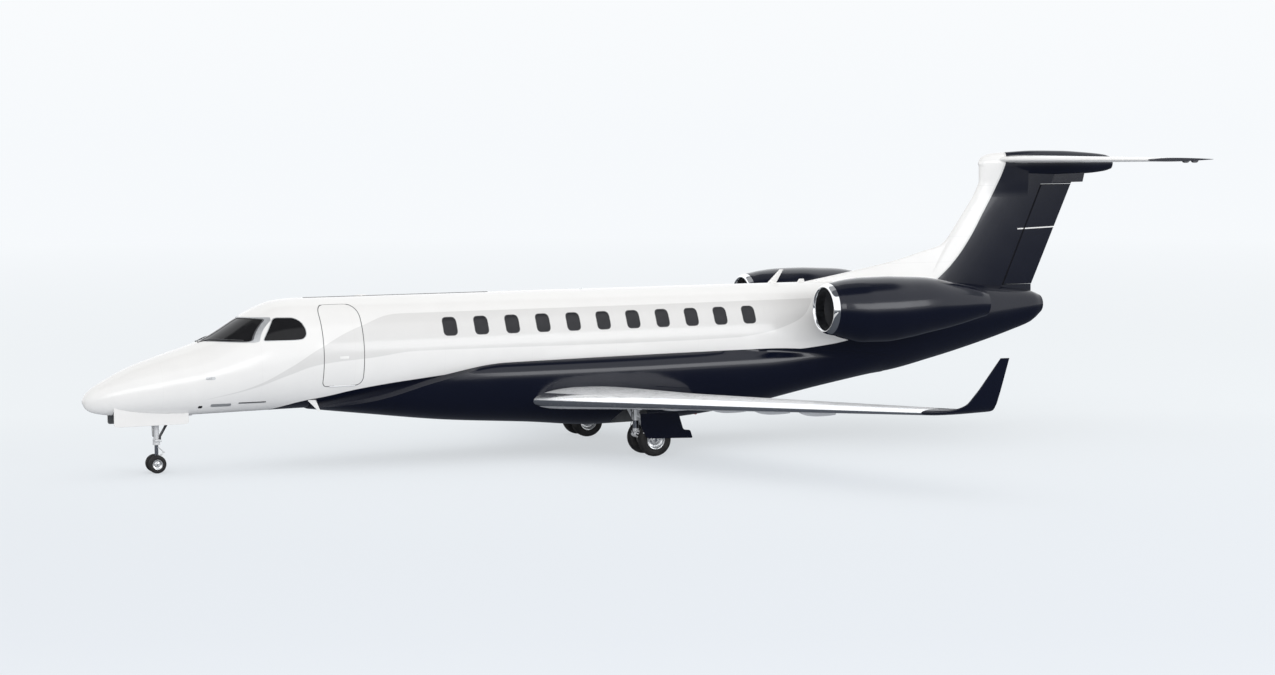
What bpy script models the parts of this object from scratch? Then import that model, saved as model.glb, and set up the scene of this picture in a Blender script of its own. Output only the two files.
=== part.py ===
"""A twin-engined business jet with a T tail, standing on its landing gear.

Metres, +Z up. The nose points along -X, the left wing along -Y, and the origin is on the ground under the
middle of the aircraft. Each piece of the airframe is an object of its own.
"""

import math

import bmesh
import bpy
from mathutils import Matrix, Vector

# Overall sizes
HALF_LENGTH = 13.165
HALF_SPAN = 10.585
SEAM = 0.0003
GROW = 0.0005

# Fuselage, as curves along X: crown and keel heights, half breadth, and the height of the widest point
SIDES = 28
WALL = 0.09
TAIL_WALL = 0.06
NOSE_BAY = (-12.56, -10.98, 0.33, 1.72)
EXHAUST = (0.5, 2.91, 0.11)
CROWN = [
    (-13.165, 1.64), (-13.10, 1.76), (-12.95, 1.89), (-12.62, 2.08), (-12.20, 2.29), (-11.50, 2.53),
    (-10.60, 2.82), (-9.74, 3.31), (-9.40, 3.49), (-9.00, 3.63), (-8.60, 3.665), (-8.30, 3.668),
    (2.50, 3.655), (5.20, 3.64), (7.90, 3.56), (9.70, 3.37), (10.45, 3.25), (10.712, 3.14),
]
KEEL = [
    (-13.165, 1.57), (-13.10, 1.45), (-12.95, 1.36), (-12.62, 1.295), (-12.20, 1.258), (-11.20, 1.222),
    (-9.40, 1.24), (-8.30, 1.248), (2.50, 1.248), (4.30, 1.275), (6.10, 1.40), (7.575, 1.685),
    (8.889, 2.00), (9.888, 2.28), (10.45, 2.47), (10.712, 2.68),
]
BREADTH = [
    (-13.165, 0.035), (-13.10, 0.15), (-12.95, 0.26), (-12.62, 0.405), (-12.20, 0.545), (-11.50, 0.74),
    (-10.60, 0.93), (-9.74, 1.09), (-9.00, 1.175), (-8.30, 1.21), (2.50, 1.21), (4.30, 1.16),
    (6.10, 1.00), (7.575, 0.80), (8.889, 0.58), (9.888, 0.42), (10.45, 0.33), (10.712, 0.23),
]
WAIST = [
    (-13.165, 1.605), (-12.62, 1.70), (-11.50, 1.88), (-10.60, 2.04), (-9.74, 2.23), (-9.00, 2.40),
    (-8.30, 2.458), (4.30, 2.458), (6.10, 2.50), (7.575, 2.62), (8.889, 2.75), (9.888, 2.84), (10.712, 2.91),
]
STATIONS = [
    -13.165, -13.10, -12.95, -12.62, -12.20, -11.70, -11.20, -10.75, -10.30, -9.85, -9.40, -9.00, -8.70,
    -8.42, -8.30, -5.70, 2.50, 3.40, 4.30, 5.20, 6.10, 7.00, 7.90, 8.80, 9.70, 10.20, 10.50, 10.712,
]
NOSE_JOINT = -12.62
COCKPIT_FRONT = -10.75
COCKPIT_REAR = -8.42
CABIN_FRONT = -5.70
CABIN_REAR = 2.50
TAIL_FRONT = 6.10
CONE_FRONT = 9.70
CONE_END = 10.712
AFT_BULKHEAD = (3.20, 3.28)
COCKPIT_WALL = (-8.74, -8.69)
COCKPIT_DOORWAY = (0.32, 3.45)
FLOOR = (1.69, 1.77)

# Windows and doors
WINDOW_COUNT = 11
WINDOW_FIRST = -5.279
WINDOW_PITCH = 0.735
WINDOW_SIZE = (0.31, 0.38)
WINDOW_HEIGHT = 3.00
WINDOW_CORNERS = (0.07, 0.07)
WINDOW_BAND = (0.22, 2.76, 3.24)
GLASS_FIT = 0.0006
WINDSHIELD = [(0.025, 2.83), (0.60, 2.84), (0.92, 2.83), (0.68, 3.27), (0.36, 3.285), (0.025, 3.27)]
SIDE_WINDOW = [
    (-9.47, 2.84), (-9.20, 3.27), (-9.14, 3.30), (-8.77, 3.295), (-8.62, 3.21), (-8.55, 3.05), (-8.55, 2.94),
    (-8.62, 2.86), (-8.76, 2.84),
]
DOOR_X = (-8.19, -7.29)
DOOR_Z = (1.79, 3.54)
SERVICE_X = (-8.05, -7.45)
SERVICE_Z = (1.79, 3.20)
DOOR_CORNERS = (0.12, 0.03)
SERVICE_CORNERS = (0.10, 0.10)
DOOR_GAP = 0.006
KNUCKLE = 0.016
KNUCKLE_INSET = 0.16
KNUCKLE_LENGTH = 0.10

# Belly fairing around the wing roots
FAIRING_FRONT = -8.30
FAIRING_MIDDLE = (-3.60, CABIN_REAR)
FAIRING_STATIONS = [
    -8.30, -7.50, -6.60, -5.60, -4.60, -3.60, -2.60, -1.50, -0.40, 0.80, 1.70, 2.50, 3.40, 4.30, 5.20, 6.10,
]
FAIRING_KEEL = [
    (-8.30, 1.23), (-7.04, 1.065), (-5.16, 0.832), (-3.23, 0.684), (-1.50, 0.540), (-0.40, 0.548),
    (0.80, 0.62), (3.14, 0.918), (5.01, 1.168), (6.10, 1.36),
]
FAIRING_BREADTH = [
    (-8.30, 0.95), (-6.00, 1.22), (-3.40, 1.38), (-1.00, 1.43), (2.00, 1.33), (4.30, 1.10), (6.10, 0.85),
]
FAIRING_EDGE = [
    (-8.30, 1.36), (-7.00, 1.60), (-5.60, 1.90), (-4.00, 2.15), (2.50, 2.20), (4.50, 2.05), (6.10, 1.85),
]
FAIRING_POINTS = 17
FAIRING_WAIST = 1.80
FAIRING_RISE = 0.62
FAIRING_POWER = 2.5
FAIRING_SKIN = 0.008
WHEEL_WELL = (0.86, 0.42, 0.30, 1.02)

# Wing, as curves along the span
WING_LEADING = [(0.9, -3.626), (1.3, -3.396), (9.9, 1.53)]
WING_CHORD = [(0.9, 4.13), (1.3, 3.95), (3.6, 2.95), (9.9, 1.36)]
WING_HEIGHT = [(0.9, 1.277), (9.9, 1.65)]
WING_THICK = [(0.9, 0.130), (3.6, 0.120), (9.9, 0.100)]
WING_INCIDENCE = math.radians(2.0)
WING_CAMBER = 0.012
TRAILING_EDGE = 0.0022
WING_STATIONS = [0.9, 1.62, 3.6, 7.1, 9.9]
FLAP_INBOARD = (1.62, 3.585)
FLAP_OUTBOARD = (3.615, 7.05)
AILERON = (7.17, 9.50)
FLAP_HINGE = 0.755
FLAP_SET_BACK = 0.02
FLAP_RAISED = 0.03
FLAP_FRONT = 0.012
FLAP_SLOT = 0.02
FLAP_CHAMFER = 0.45
FLAP_LEAN = 0.12
AILERON_HINGE = 0.77
PANEL_GAP = 0.015
END_GAP = 0.02
NOSE_GAP = 0.010
NOSE_LEAN = math.radians(28)
PIN = 0.011
PIN_ROOT = 0.05
REACH = 0.5
LENGTHEN = 2.2
FAIRING_Y = (2.6, 4.3, 5.5, 6.7)
POD = ((0.0, 0.015), (0.2, 0.07), (0.5, 0.095), (0.8, 0.09), (1.0, 0.075))
POD_LENGTH = 0.85
GEAR_SLOT = (-1.36, -1.04, 1.20, 2.12, 1.16)
JACK_RADIUS = 0.05
JACK_Y = 3.0
JACK_PART = 0.27
JACK_PROUD = 0.012

# Winglet sections: span, height, nose, chord, thickness and cant in degrees
WINGLET = [
    (9.9003, 1.650, 1.530, 1.360, 0.100, 0.0), (10.100, 1.665, 1.740, 1.200, 0.095, 8.0),
    (10.260, 1.700, 2.000, 0.960, 0.090, 30.0), (10.360, 1.800, 2.260, 0.710, 0.090, 58.0),
    (10.430, 2.020, 2.450, 0.560, 0.090, 78.0), (10.575, 2.740, 2.943, 0.203, 0.090, 80.0),
]

# Tail
FIN_LEADING = [(3.20, 7.05), (4.573, 8.04), (5.947, 9.025), (6.40, 9.35)]
FIN_TRAILING = [(3.20, 10.394), (6.40, 11.870)]
FIN_STATIONS = [3.20, 4.60, 5.94, 6.40]
RUDDER_Z = (3.42, 5.90)
RUDDER_HINGE = [(3.20, 9.525), (6.40, 10.956)]
FIN_THICK = 0.10
DORSAL = [(3.9, 3.62), (5.38, 3.871), (6.59, 4.10), (7.34, 4.30), (7.89, 4.45), (8.04, 4.573), (8.35, 4.99)]
REAR_BLOCK = [(10.9, 5.935), (11.954, 5.945), (12.018, 6.20), (10.9, 6.20)]
STAB_STATIONS = [0.05, 1.9, 3.775]
STAB_LEADING = [(0.05, 9.40), (3.775, 11.42)]
STAB_TRAILING = [(0.05, 11.72), (3.775, 13.165)]
STAB_HEIGHT = 6.53
STAB_THICK = 0.085
ELEVATOR_Y = (0.30, 3.55)
ELEVATOR_HINGE = 0.67

# Bullet fairing sections: station, top, bottom and half breadth
BULLET = [
    (8.94, 6.47, 6.40, 0.03), (9.03, 6.590, 6.26, 0.09), (9.30, 6.677, 6.15, 0.14), (9.75, 6.71, 6.10, 0.18),
    (10.50, 6.741, 6.11, 0.20), (11.30, 6.730, 6.13, 0.20), (12.10, 6.681, 6.155, 0.17),
    (12.65, 6.62, 6.21, 0.13), (12.829, 6.56, 6.26, 0.11),
]

# Engines: the cowl is station, centre height and radius, and everything turned is station and radius
ENGINE_Y = 2.151
ENGINE_Z = 3.150
ENGINE_SIDES = 20
TURNED_SIDES = 16
COWL = [
    (3.74, 3.150, 0.620), (4.00, 3.130, 0.685), (4.45, 3.100, 0.755), (5.06, 3.100, 0.764),
    (5.67, 3.122, 0.717), (6.30, 3.155, 0.637), (6.92, 3.150, 0.518), (7.50, 3.155, 0.385),
    (7.80, 3.140, 0.300),
]
DUCT = [
    (3.74, 0.475), (4.30, 0.485), (5.20, 0.485), (6.30, 0.44), (6.92, 0.38), (7.50, 0.31), (7.80, 0.272),
]
LIP = [
    (3.7397, 0.475), (3.7397, 0.620), (3.62, 0.600), (3.52, 0.570), (3.465, 0.530), (3.475, 0.500),
    (3.54, 0.480),
]
FAN_X = 4.30
SPINNER = [(4.10, 0.0), (4.15, 0.06), (4.28, 0.13), (4.44, 0.16), (4.44, 0.0)]
FAN_RADIUS = 0.470
FAN_BLADES = 24
BLADE_X = 4.36
BLADE_ROOT = (0.10, 0.050, 25.0)
BLADE_TIP = (FAN_RADIUS, 0.055, 58.0)
BLADE_HALF = 0.004
CORE = [
    (4.4403, 0.0), (4.4403, 0.15), (4.70, 0.28), (5.0, 0.36), (6.4, 0.34), (6.9, 0.22), (7.45, 0.02),
    (7.45, 0.0),
]
VANE_X = (5.05, 5.35)
VANE_HALF = 0.012
VANE_REACH = 0.6
PYLON_Y = (0.6, 1.7)
PYLON_Z = 3.06
PYLON = [(4.3, 0.02), (4.6, 0.09), (5.3, 0.13), (6.2, 0.10), (6.9, 0.05), (7.25, 0.012)]

# Landing gear: tyres are radius and width, and rods are radii
NOSE_GEAR_X = -11.623
NOSE_TYRE = (0.195, 0.13)
NOSE_HUB = 0.105
NOSE_TWIN = 0.14
NOSE_AXLE = 0.025
NOSE_TRAIL = 0.02
NOSE_TURN_Z = 0.60
NOSE_STRUT = 0.058
NOSE_PISTON = 0.04
NOSE_TRUNNION = 1.52
NOSE_BRACE = (-11.10, 1.50, 0.028)
NOSE_LINK = (0.16, 0.55, 0.44, 0.30, 0.018)
TOW_LUG = (0.13, 0.03, 0.22, 0.29)
NOSE_DOOR = (-12.57, -10.97, 0.335, 0.36, 1.06, 1.42)
NOSE_JACK = (-10.86, 1.30, 1.20)
MAIN_GEAR_X = -0.884
MAIN_GEAR_Y = 1.97
MAIN_TYRE = (0.38, 0.24)
MAIN_HUB = 0.205
MAIN_TWIN = 0.30
MAIN_AXLE = 0.045
STRUT_X = -1.20
STRUT = 0.07
STRUT_FOOT = 0.50
KNEE = (0.09, 0.085)
ARM = 0.06
MAIN_BOSS = (0.10, 0.085)
DAMPER = 0.045
BRACE_Y = 1.45
BRACE = (0.72, 1.08, 0.032)
GEAR_PLATE = [
    (-1.29, 1.00), (-0.37, 1.00), (-0.24, 0.587), (-0.07, 0.566), (-0.01, 0.385), (-1.13, 0.432),
    (-1.28, 0.711),
]
PLATE_Y = 2.43
PLATE_HALF = 0.013
PLATE_ARM = (0.90, 0.022)
WHEEL_SIDES = 16


def curve(points):
    """A smooth function through the points, which never swings past them."""
    xs = [p[0] for p in points]
    ys = [p[1] for p in points]
    rise = [(ys[i + 1] - ys[i]) / (xs[i + 1] - xs[i]) for i in range(len(xs) - 1)]
    slope = [rise[0]]
    for a, b in zip(rise, rise[1:]):
        slope.append(2 * a * b / (a + b) if a * b > 0 else 0.0)
    slope.append(rise[-1])

    def value(x):
        if x <= xs[0]:
            return ys[0]
        if x >= xs[-1]:
            return ys[-1]
        i = max(k for k in range(len(xs) - 1) if xs[k] <= x)
        h = xs[i + 1] - xs[i]
        t = (x - xs[i]) / h
        return (
            ys[i] * (1 + 2 * t) * (1 - t) ** 2
            + ys[i + 1] * t * t * (3 - 2 * t)
            + slope[i] * h * t * (1 - t) ** 2
            - slope[i + 1] * h * t * t * (1 - t)
        )

    return value


def straight(points):
    """A function that runs in straight lines from point to point."""

    def value(x):
        for (x0, y0), (x1, y1) in zip(points, points[1:]):
            if x <= x1:
                return y0 + (y1 - y0) * (x - x0) / (x1 - x0)
        return points[-1][1]

    return value


crown = curve(CROWN)
keel = curve(KEEL)
breadth = curve(BREADTH)
waist = curve(WAIST)
fairing_keel = curve(FAIRING_KEEL)
fairing_breadth = curve(FAIRING_BREADTH)
fairing_top = curve(FAIRING_EDGE)
wing_leading = straight(WING_LEADING)
wing_chord = straight(WING_CHORD)
wing_height = straight(WING_HEIGHT)
wing_thick = straight(WING_THICK)
fin_leading = straight(FIN_LEADING)
fin_trailing = straight(FIN_TRAILING)
rudder_hinge = straight(RUDDER_HINGE)
stab_leading = straight(STAB_LEADING)
stab_trailing = straight(STAB_TRAILING)
cowl_height = curve([(x, z) for x, z, _ in COWL])
cowl_radius = curve([(x, r) for x, _, r in COWL])
duct_radius = curve(DUCT)


# The scene, its collection and its materials
for old in list(bpy.data.objects):
    bpy.data.objects.remove(old)
aircraft = bpy.data.collections.new("business_jet")
bpy.context.scene.collection.children.link(aircraft)


def paint(name, colour, roughness, metallic=0.0):
    material = bpy.data.materials.new(name)
    material.use_nodes = True
    shader = material.node_tree.nodes["Principled BSDF"]
    shader.inputs["Base Color"].default_value = (*colour, 1.0)
    shader.inputs["Roughness"].default_value = roughness
    shader.inputs["Metallic"].default_value = metallic
    return material


WHITE = paint("gloss_white_paint", (0.86, 0.87, 0.88), 0.15)
NAVY = paint("gloss_navy_paint", (0.008, 0.009, 0.022), 0.12)
SILVER = paint("polished_aluminium", (0.80, 0.81, 0.82), 0.18, 1.0)
CHROME = paint("chrome", (0.85, 0.86, 0.87), 0.06, 1.0)
STEEL = paint("gear_steel", (0.62, 0.63, 0.65), 0.3, 1.0)
GLASS = paint("dark_glass", (0.012, 0.012, 0.014), 0.05)
RUBBER = paint("tyre_rubber", (0.02, 0.02, 0.021), 0.75)
TITANIUM = paint("fan_metal", (0.20, 0.21, 0.23), 0.35, 1.0)
TRIM = paint("cabin_trim", (0.55, 0.52, 0.47), 0.6)


# Building and joining solids
def finish(name, bm, material):
    bmesh.ops.remove_doubles(bm, verts=bm.verts, dist=1e-6)
    bmesh.ops.recalc_face_normals(bm, faces=bm.faces)
    mesh = bpy.data.meshes.new(name)
    bm.to_mesh(mesh)
    bm.free()
    mesh.shade_smooth()
    mesh.set_sharp_from_angle(angle=math.radians(35))
    obj = bpy.data.objects.new(name, mesh)
    aircraft.objects.link(obj)
    if material:
        obj.data.materials.append(material)
    return obj


def solve(target, operation, *others):
    """The target joined with, cut by or kept within other solids, which are used up."""
    for other in others:
        modifier = target.modifiers.new(operation, "BOOLEAN")
        modifier.operation = operation
        modifier.solver = "EXACT"
        modifier.object = other
    graph = bpy.context.evaluated_depsgraph_get()
    mesh = bpy.data.meshes.new_from_object(target.evaluated_get(graph))
    target.modifiers.clear()
    target.data = mesh
    mesh.name = target.name
    while len(mesh.materials) > 1:
        mesh.materials.pop()
    for other in others:
        bpy.data.objects.remove(other)
    return target


def join(target, *others):
    return solve(target, "UNION", *others)


def cut(target, *others):
    return solve(target, "DIFFERENCE", *others)


def keep(target, *others):
    return solve(target, "INTERSECT", *others)


def skin(bm, rings):
    """Triangles from ring to ring, always split the same way, so that nested skins stay parallel."""
    rows = [[bm.verts.new(p) for p in ring] for ring in rings]
    for a, b in zip(rows, rows[1:]):
        for k in range(len(a)):
            bm.faces.new((a[k], a[k - 1], b[k - 1]))
            bm.faces.new((a[k], b[k - 1], b[k]))
    return rows


def loft(name, rings, material=None):
    """A solid through like rings of points, closed by a flat face at each end."""
    bm = bmesh.new()
    rows = skin(bm, rings)
    bm.faces.new(rows[0])
    bm.faces.new(rows[-1])
    return finish(name, bm, material)


def tube(name, outer, inner, material=None):
    """A wall between an outer and an inner loft, open at both ends."""
    bm = bmesh.new()
    out = skin(bm, outer)
    inn = skin(bm, inner)
    for a, b in ((out[0], inn[0]), (out[-1], inn[-1])):
        for k in range(len(a)):
            bm.faces.new((a[k], a[k - 1], b[k - 1], b[k]))
    return finish(name, bm, material)


def box(name, low, high, material=None):
    bm = bmesh.new()
    size = [b - a for a, b in zip(low, high)]
    centre = [(a + b) / 2 for a, b in zip(low, high)]
    bmesh.ops.create_cube(bm, size=1.0, matrix=Matrix.Translation(centre) @ Matrix.Diagonal((*size, 1.0)))
    return finish(name, bm, material)


def rod(name, start, end, radius, material=None, sides=12, spin=0.0):
    start, end = Vector(start), Vector(end)
    along = end - start
    turn = Vector((0, 0, 1)).rotation_difference(along).to_matrix().to_4x4()
    bm = bmesh.new()
    bmesh.ops.create_cone(
        bm, cap_ends=True, segments=sides, radius1=radius, radius2=radius, depth=along.length,
        matrix=Matrix.Translation((start + end) / 2) @ turn @ Matrix.Rotation(spin, 4, "Z"),
    )
    return finish(name, bm, material)


def turned(name, profile, centre, axis, sides, material=None):
    """A solid turned from (distance, radius) points, which end on the axis or form a closed loop."""
    closed = profile[0][1] > 0
    bm = bmesh.new()
    points = [bm.verts.new((r, 0.0, d)) for d, r in profile]
    pairs = list(zip(points, points[1:])) + ([(points[-1], points[0])] if closed else [])
    for pair in pairs:
        bm.edges.new(pair)
    mesh = bpy.data.meshes.new(name)
    bm.to_mesh(mesh)
    bm.free()
    outline = bpy.data.objects.new(name + "_outline", mesh)
    aircraft.objects.link(outline)
    screw = outline.modifiers.new("turn", "SCREW")
    screw.steps = sides
    screw.render_steps = sides
    screw.use_merge_vertices = True
    screw.merge_threshold = 1e-5
    graph = bpy.context.evaluated_depsgraph_get()
    solid = bpy.data.meshes.new_from_object(outline.evaluated_get(graph))
    bpy.data.objects.remove(outline)
    bm = bmesh.new()
    bm.from_mesh(solid)
    turn = Vector((0, 0, 1)).rotation_difference(Vector(axis)).to_matrix().to_4x4()
    bmesh.ops.transform(bm, matrix=Matrix.Translation(centre) @ turn, verts=bm.verts)
    return finish(name, bm, material)


# Outlines
def fuselage_ring(x, grow=0.0):
    middle = waist(x)
    points = []
    for k in range(SIDES):
        a = 2 * math.pi * k / SIDES
        up = crown(x) - middle if math.sin(a) >= 0 else middle - keel(x)
        points.append((x, (breadth(x) + grow) * math.cos(a), middle + (up + grow) * math.sin(a)))
    return points


def stations(start, end, every=STATIONS):
    inside = [x for x in every if start + 0.01 < x < end - 0.01]
    return [start + SEAM / 2, *inside, end - SEAM / 2]


def fuselage_solid(name, start, end, grow=0.0, material=None):
    return loft(name, [fuselage_ring(x, grow) for x in stations(start, end)], material)


def hull(first, last, grow=GROW):
    """The fuselage between two stations, a hair larger or smaller, to trim or hold what meets it."""
    return loft("hull", [fuselage_ring(x, grow) for x in STATIONS if first <= x <= last])


def fuselage_shell(name, start, end, material=None, outer=0.0, inner=-WALL):
    xs = stations(start, end)
    return tube(name, [fuselage_ring(x, outer) for x in xs], [fuselage_ring(x, inner) for x in xs], material)


def fairing_edge(x, y, z, grow):
    """The point on the fairing's outside in the direction of (y, z), seen from the fuselage's centre line."""
    middle = waist(x)
    wide, deep = fairing_breadth(x), FAIRING_WAIST - fairing_keel(x)

    def outside(scale):
        v = middle + (z - middle) * scale - FAIRING_WAIST
        tall = deep if v < 0 else FAIRING_RISE
        return abs(y * scale / wide) ** FAIRING_POWER + abs(v / tall) ** FAIRING_POWER > 1

    low, high = 1.0, 3.0
    if outside(low):
        scale = low
    else:
        for _ in range(40):
            mid = (low + high) / 2
            low, high = (low, mid) if outside(mid) else (mid, high)
        scale = high
    radius = math.hypot(y, z - middle)
    scale = max(scale, 1 + FAIRING_SKIN / radius) + grow / radius
    return (x, y * scale, middle + (z - middle) * scale)


def fairing_rows(x, grow=0.0):
    """The fairing's outside, from the left edge under to the right edge, and a line inside the cabin."""
    middle, deep = waist(x), waist(x) - keel(x)
    start = math.asin((fairing_top(x) - middle) / deep)
    outer, inner = [], []
    for k in range(FAIRING_POINTS):
        a = -math.pi - start + (math.pi + 2 * start) * k / (FAIRING_POINTS - 1)
        y, z = breadth(x) * math.cos(a), middle + deep * math.sin(a)
        outer.append(fairing_edge(x, y, z, grow))
        inner.append((x, y * 0.97, middle + (z - middle) * 0.97))
    return outer, inner


def fairing_solid(name, start, end, material):
    rings = []
    for x in stations(start, end, FAIRING_STATIONS):
        outer, inner = fairing_rows(x)
        rings.append(outer + inner[::-1])
    return cut(loft(name, rings, material), hull(-8.70, 7.00))


def hull_ring(x):
    """The fairing's outside, a hair larger, closed over the cabin, to trim the wing roots."""
    outer, _ = fairing_rows(x, GROW)
    return outer + [(x, 0.6, 3.0), (x, -0.6, 3.0)]


def half_thickness(part, thick):
    """Half the thickness of a blade at a share of its chord, for a chord of 1."""
    return 5 * thick * (
        0.2969 * part**0.5 - 0.1260 * part - 0.3516 * part**2 + 0.2843 * part**3 - 0.1036 * part**4
    )


def aerofoil(thick, camber=0.0, count=9):
    """Points from the upper trailing edge round the nose to the lower one, for a chord of 1."""
    upper, lower = [], []
    for k in range(count):
        x = (1 - math.cos(math.pi * k / (count - 1))) / 2
        half = half_thickness(x, thick) + TRAILING_EDGE * x
        mean = camber * 4 * x * (1 - x)
        upper.append((x, mean + half))
        lower.append((x, mean - half))
    return upper[::-1] + lower[1:]


def blade_ring(nose, chord, thick, up, camber=0.0, incidence=0.0):
    """A section whose nose is at a point, with its chord along +X and its thickness along up."""
    nose, up = Vector(nose), Vector(up)
    along = Vector((math.cos(incidence), 0, 0)) - up * math.sin(incidence)
    return [tuple(nose + along * (x * chord) + up * (v * chord)) for x, v in aerofoil(thick, camber)]


def wing_ring(side, y):
    nose = (wing_leading(y), side * y, wing_height(y))
    return blade_ring(nose, wing_chord(y), wing_thick(y), (0, 0, 1), WING_CAMBER, WING_INCIDENCE)


def wing_at(y, part):
    """X, and the upper and lower height of the wing at this share of its chord."""
    chord = wing_chord(y)
    half = half_thickness(part, wing_thick(y)) * chord
    mean = WING_CAMBER * 4 * part * (1 - part) * chord
    base = wing_height(y) - part * chord * math.sin(WING_INCIDENCE) + mean
    return wing_leading(y) + part * chord * math.cos(WING_INCIDENCE), base + half, base - half


def wing_solid(side, name, material=None):
    return loft(name, [wing_ring(side, y) for y in WING_STATIONS], material)


# Hinged surfaces
def flap_hinge(y):
    """X and Z of the flaps' hinge line, just above the wing's lower skin."""
    x, _, low = wing_at(y, FLAP_HINGE)
    return x + FLAP_SET_BACK, low + FLAP_RAISED


def round_nose(radius, lean, steps=6):
    """Points over the front of a circle, from the top to the bottom, as (aft, up) from its centre."""
    turns = [math.pi / 2 + lean + (math.pi - 2 * lean) * k / steps for k in range(steps + 1)]
    return [(radius * math.cos(a), radius * math.sin(a)) for a in turns]


def flap_block(side, span, gap):
    """The space of a flap, shaped at its lower front edge and inner end to swing, or the notch for it."""
    rings = []
    for y in span:
        x, z = flap_hinge(y)
        lean = FLAP_LEAN if gap and y == span[0] else 0.0
        if gap:
            front = [(x - FLAP_FRONT, z + REACH), (x - FLAP_FRONT, z), (x + FLAP_CHAMFER, z - REACH)]
        else:
            front = [(x - FLAP_SLOT, z + REACH), (x - FLAP_SLOT, z), (x - FLAP_SLOT, z - REACH)]
        ring = front + [(x + LENGTHEN, z - REACH), (x + LENGTHEN, z + REACH)]
        rings.append([(px, side * (y + lean * (pz - z)), pz) for px, pz in ring])
    return loft("block", rings)


def nose_block(hinge, place, span, gap):
    """The space of a surface that turns both ways about a round nose, or the cove that it moves in."""
    rings = []
    for s in span:
        aft, middle, radius = hinge(s)
        front = round_nose(radius, 0.0) if gap else round_nose(radius + NOSE_GAP, NOSE_LEAN)
        top, bottom = front[0][0], front[-1][0]
        ring = [(top, REACH), *front, (bottom, -REACH), (LENGTHEN, -REACH), (LENGTHEN, REACH)]
        rings.append([place(s, aft + a, middle + b) for a, b in ring])
    return loft("block", rings)


def across(side):
    return lambda y, x, z: (x, side * y, z)


def upright(z, x, y):
    return (x, y, z)


def hinge_ends(hinge, place, span):
    """The two ends of a surface's hinge line."""
    return [Vector(place(s, *hinge(s)[:2])) for s in span]


def pinned(panel, start, end, square):
    """Joins a hinge pin to a panel's end, so that it stops a hair short of the wall beyond."""
    along = (end - start).normalized()
    lean = abs(along[square])
    reach = (END_GAP - SEAM - PIN * math.sqrt(1 - lean * lean)) / lean
    join(panel, rod("pin", end - along * PIN_ROOT, end + along * reach, PIN))


def hung(piece, point):
    """Puts a piece's origin on its joint's axis, and leaves the piece where it is."""
    piece.data.transform(Matrix.Translation(-Vector(point)))
    piece.location = point


# Fuselage sections
def build_nose():
    fuselage_solid("radome", -HALF_LENGTH, NOSE_JOINT, material=WHITE)
    nose = fuselage_solid("nose_section", NOSE_JOINT, COCKPIT_FRONT, material=WHITE)
    front, rear, half, top = NOSE_BAY
    cut(nose, box("bay", (front, -half, 1.0), (rear, half, top)))
    x, root, foot = NOSE_JACK
    join(nose, rod("jack_pad", (x, 0, root), (x, 0, foot), JACK_RADIUS))


def build_rear():
    aft = fuselage_shell("aft_fuselage", CABIN_REAR, TAIL_FRONT, WHITE, 0.0, -TAIL_WALL)
    join(aft, loft("bulkhead", [fuselage_ring(x, -TAIL_WALL / 2) for x in AFT_BULKHEAD]))
    fuselage_shell("tail_section", TAIL_FRONT, CONE_FRONT, NAVY, 0.0, -TAIL_WALL)
    cone = fuselage_solid("tail_cone", CONE_FRONT, CONE_END, material=NAVY)
    depth, z, radius = EXHAUST
    start, end = (CONE_FRONT + depth, 0, z), (CONE_END + depth, 0, z)
    cut(cone, rod("exhaust", start, end, radius, sides=TURNED_SIDES))


def build_floor():
    low = (COCKPIT_FRONT + WALL, -HALF_SPAN, FLOOR[0])
    high = (AFT_BULKHEAD[0] - SEAM, HALF_SPAN, FLOOR[1])
    keep(box("cabin_floor", low, high, TRIM), hull(COCKPIT_FRONT, 3.40, -WALL - GROW))
    low = (COCKPIT_WALL[0], -HALF_SPAN, FLOOR[1] + SEAM)
    high = (COCKPIT_WALL[1], HALF_SPAN, HALF_SPAN)
    wall = keep(box("cockpit_bulkhead", low, high, TRIM), hull(-9.00, -8.30, -WALL - GROW))
    half, top = COCKPIT_DOORWAY
    cut(wall, box("doorway", (COCKPIT_WALL[0] - WALL, -half, 0), (COCKPIT_WALL[1] + WALL, half, top)))


# Windows
def side_prism(corners, side, inner=0.55, outer=1.5):
    """An outline seen from the side, drawn out through one wall of the fuselage."""
    return loft("prism", [[(x, side * y, z) for x, z in corners] for y in (inner, outer)])


def chamfered(x_span, z_span, corners, by=0.0):
    """A rectangle with its upper and lower corners cut off, drawn in on every side by a gap."""
    left, right = x_span[0] + by, x_span[1] - by
    low, high = z_span[0] + by, z_span[1] - by
    upper, lower = corners
    return [
        (right, high - upper), (right - upper, high), (left + upper, high), (left, high - upper),
        (left, low + lower), (left + lower, low), (right - lower, low), (right, low + lower),
    ]


def shrunk(points, by):
    """The same outline drawn in towards its middle."""
    mx = sum(p[0] for p in points) / len(points)
    mz = sum(p[1] for p in points) / len(points)
    return [(p[0] + by * (-1 if p[0] > mx else 1), p[1] + by * (-1 if p[1] > mz else 1)) for p in points]


def windshield_prism(side, by=0.0):
    corners = shrunk(WINDSHIELD, by)
    return loft("prism", [[(x, side * y, z) for y, z in corners] for x in (-11.2, -9.33)])


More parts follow.
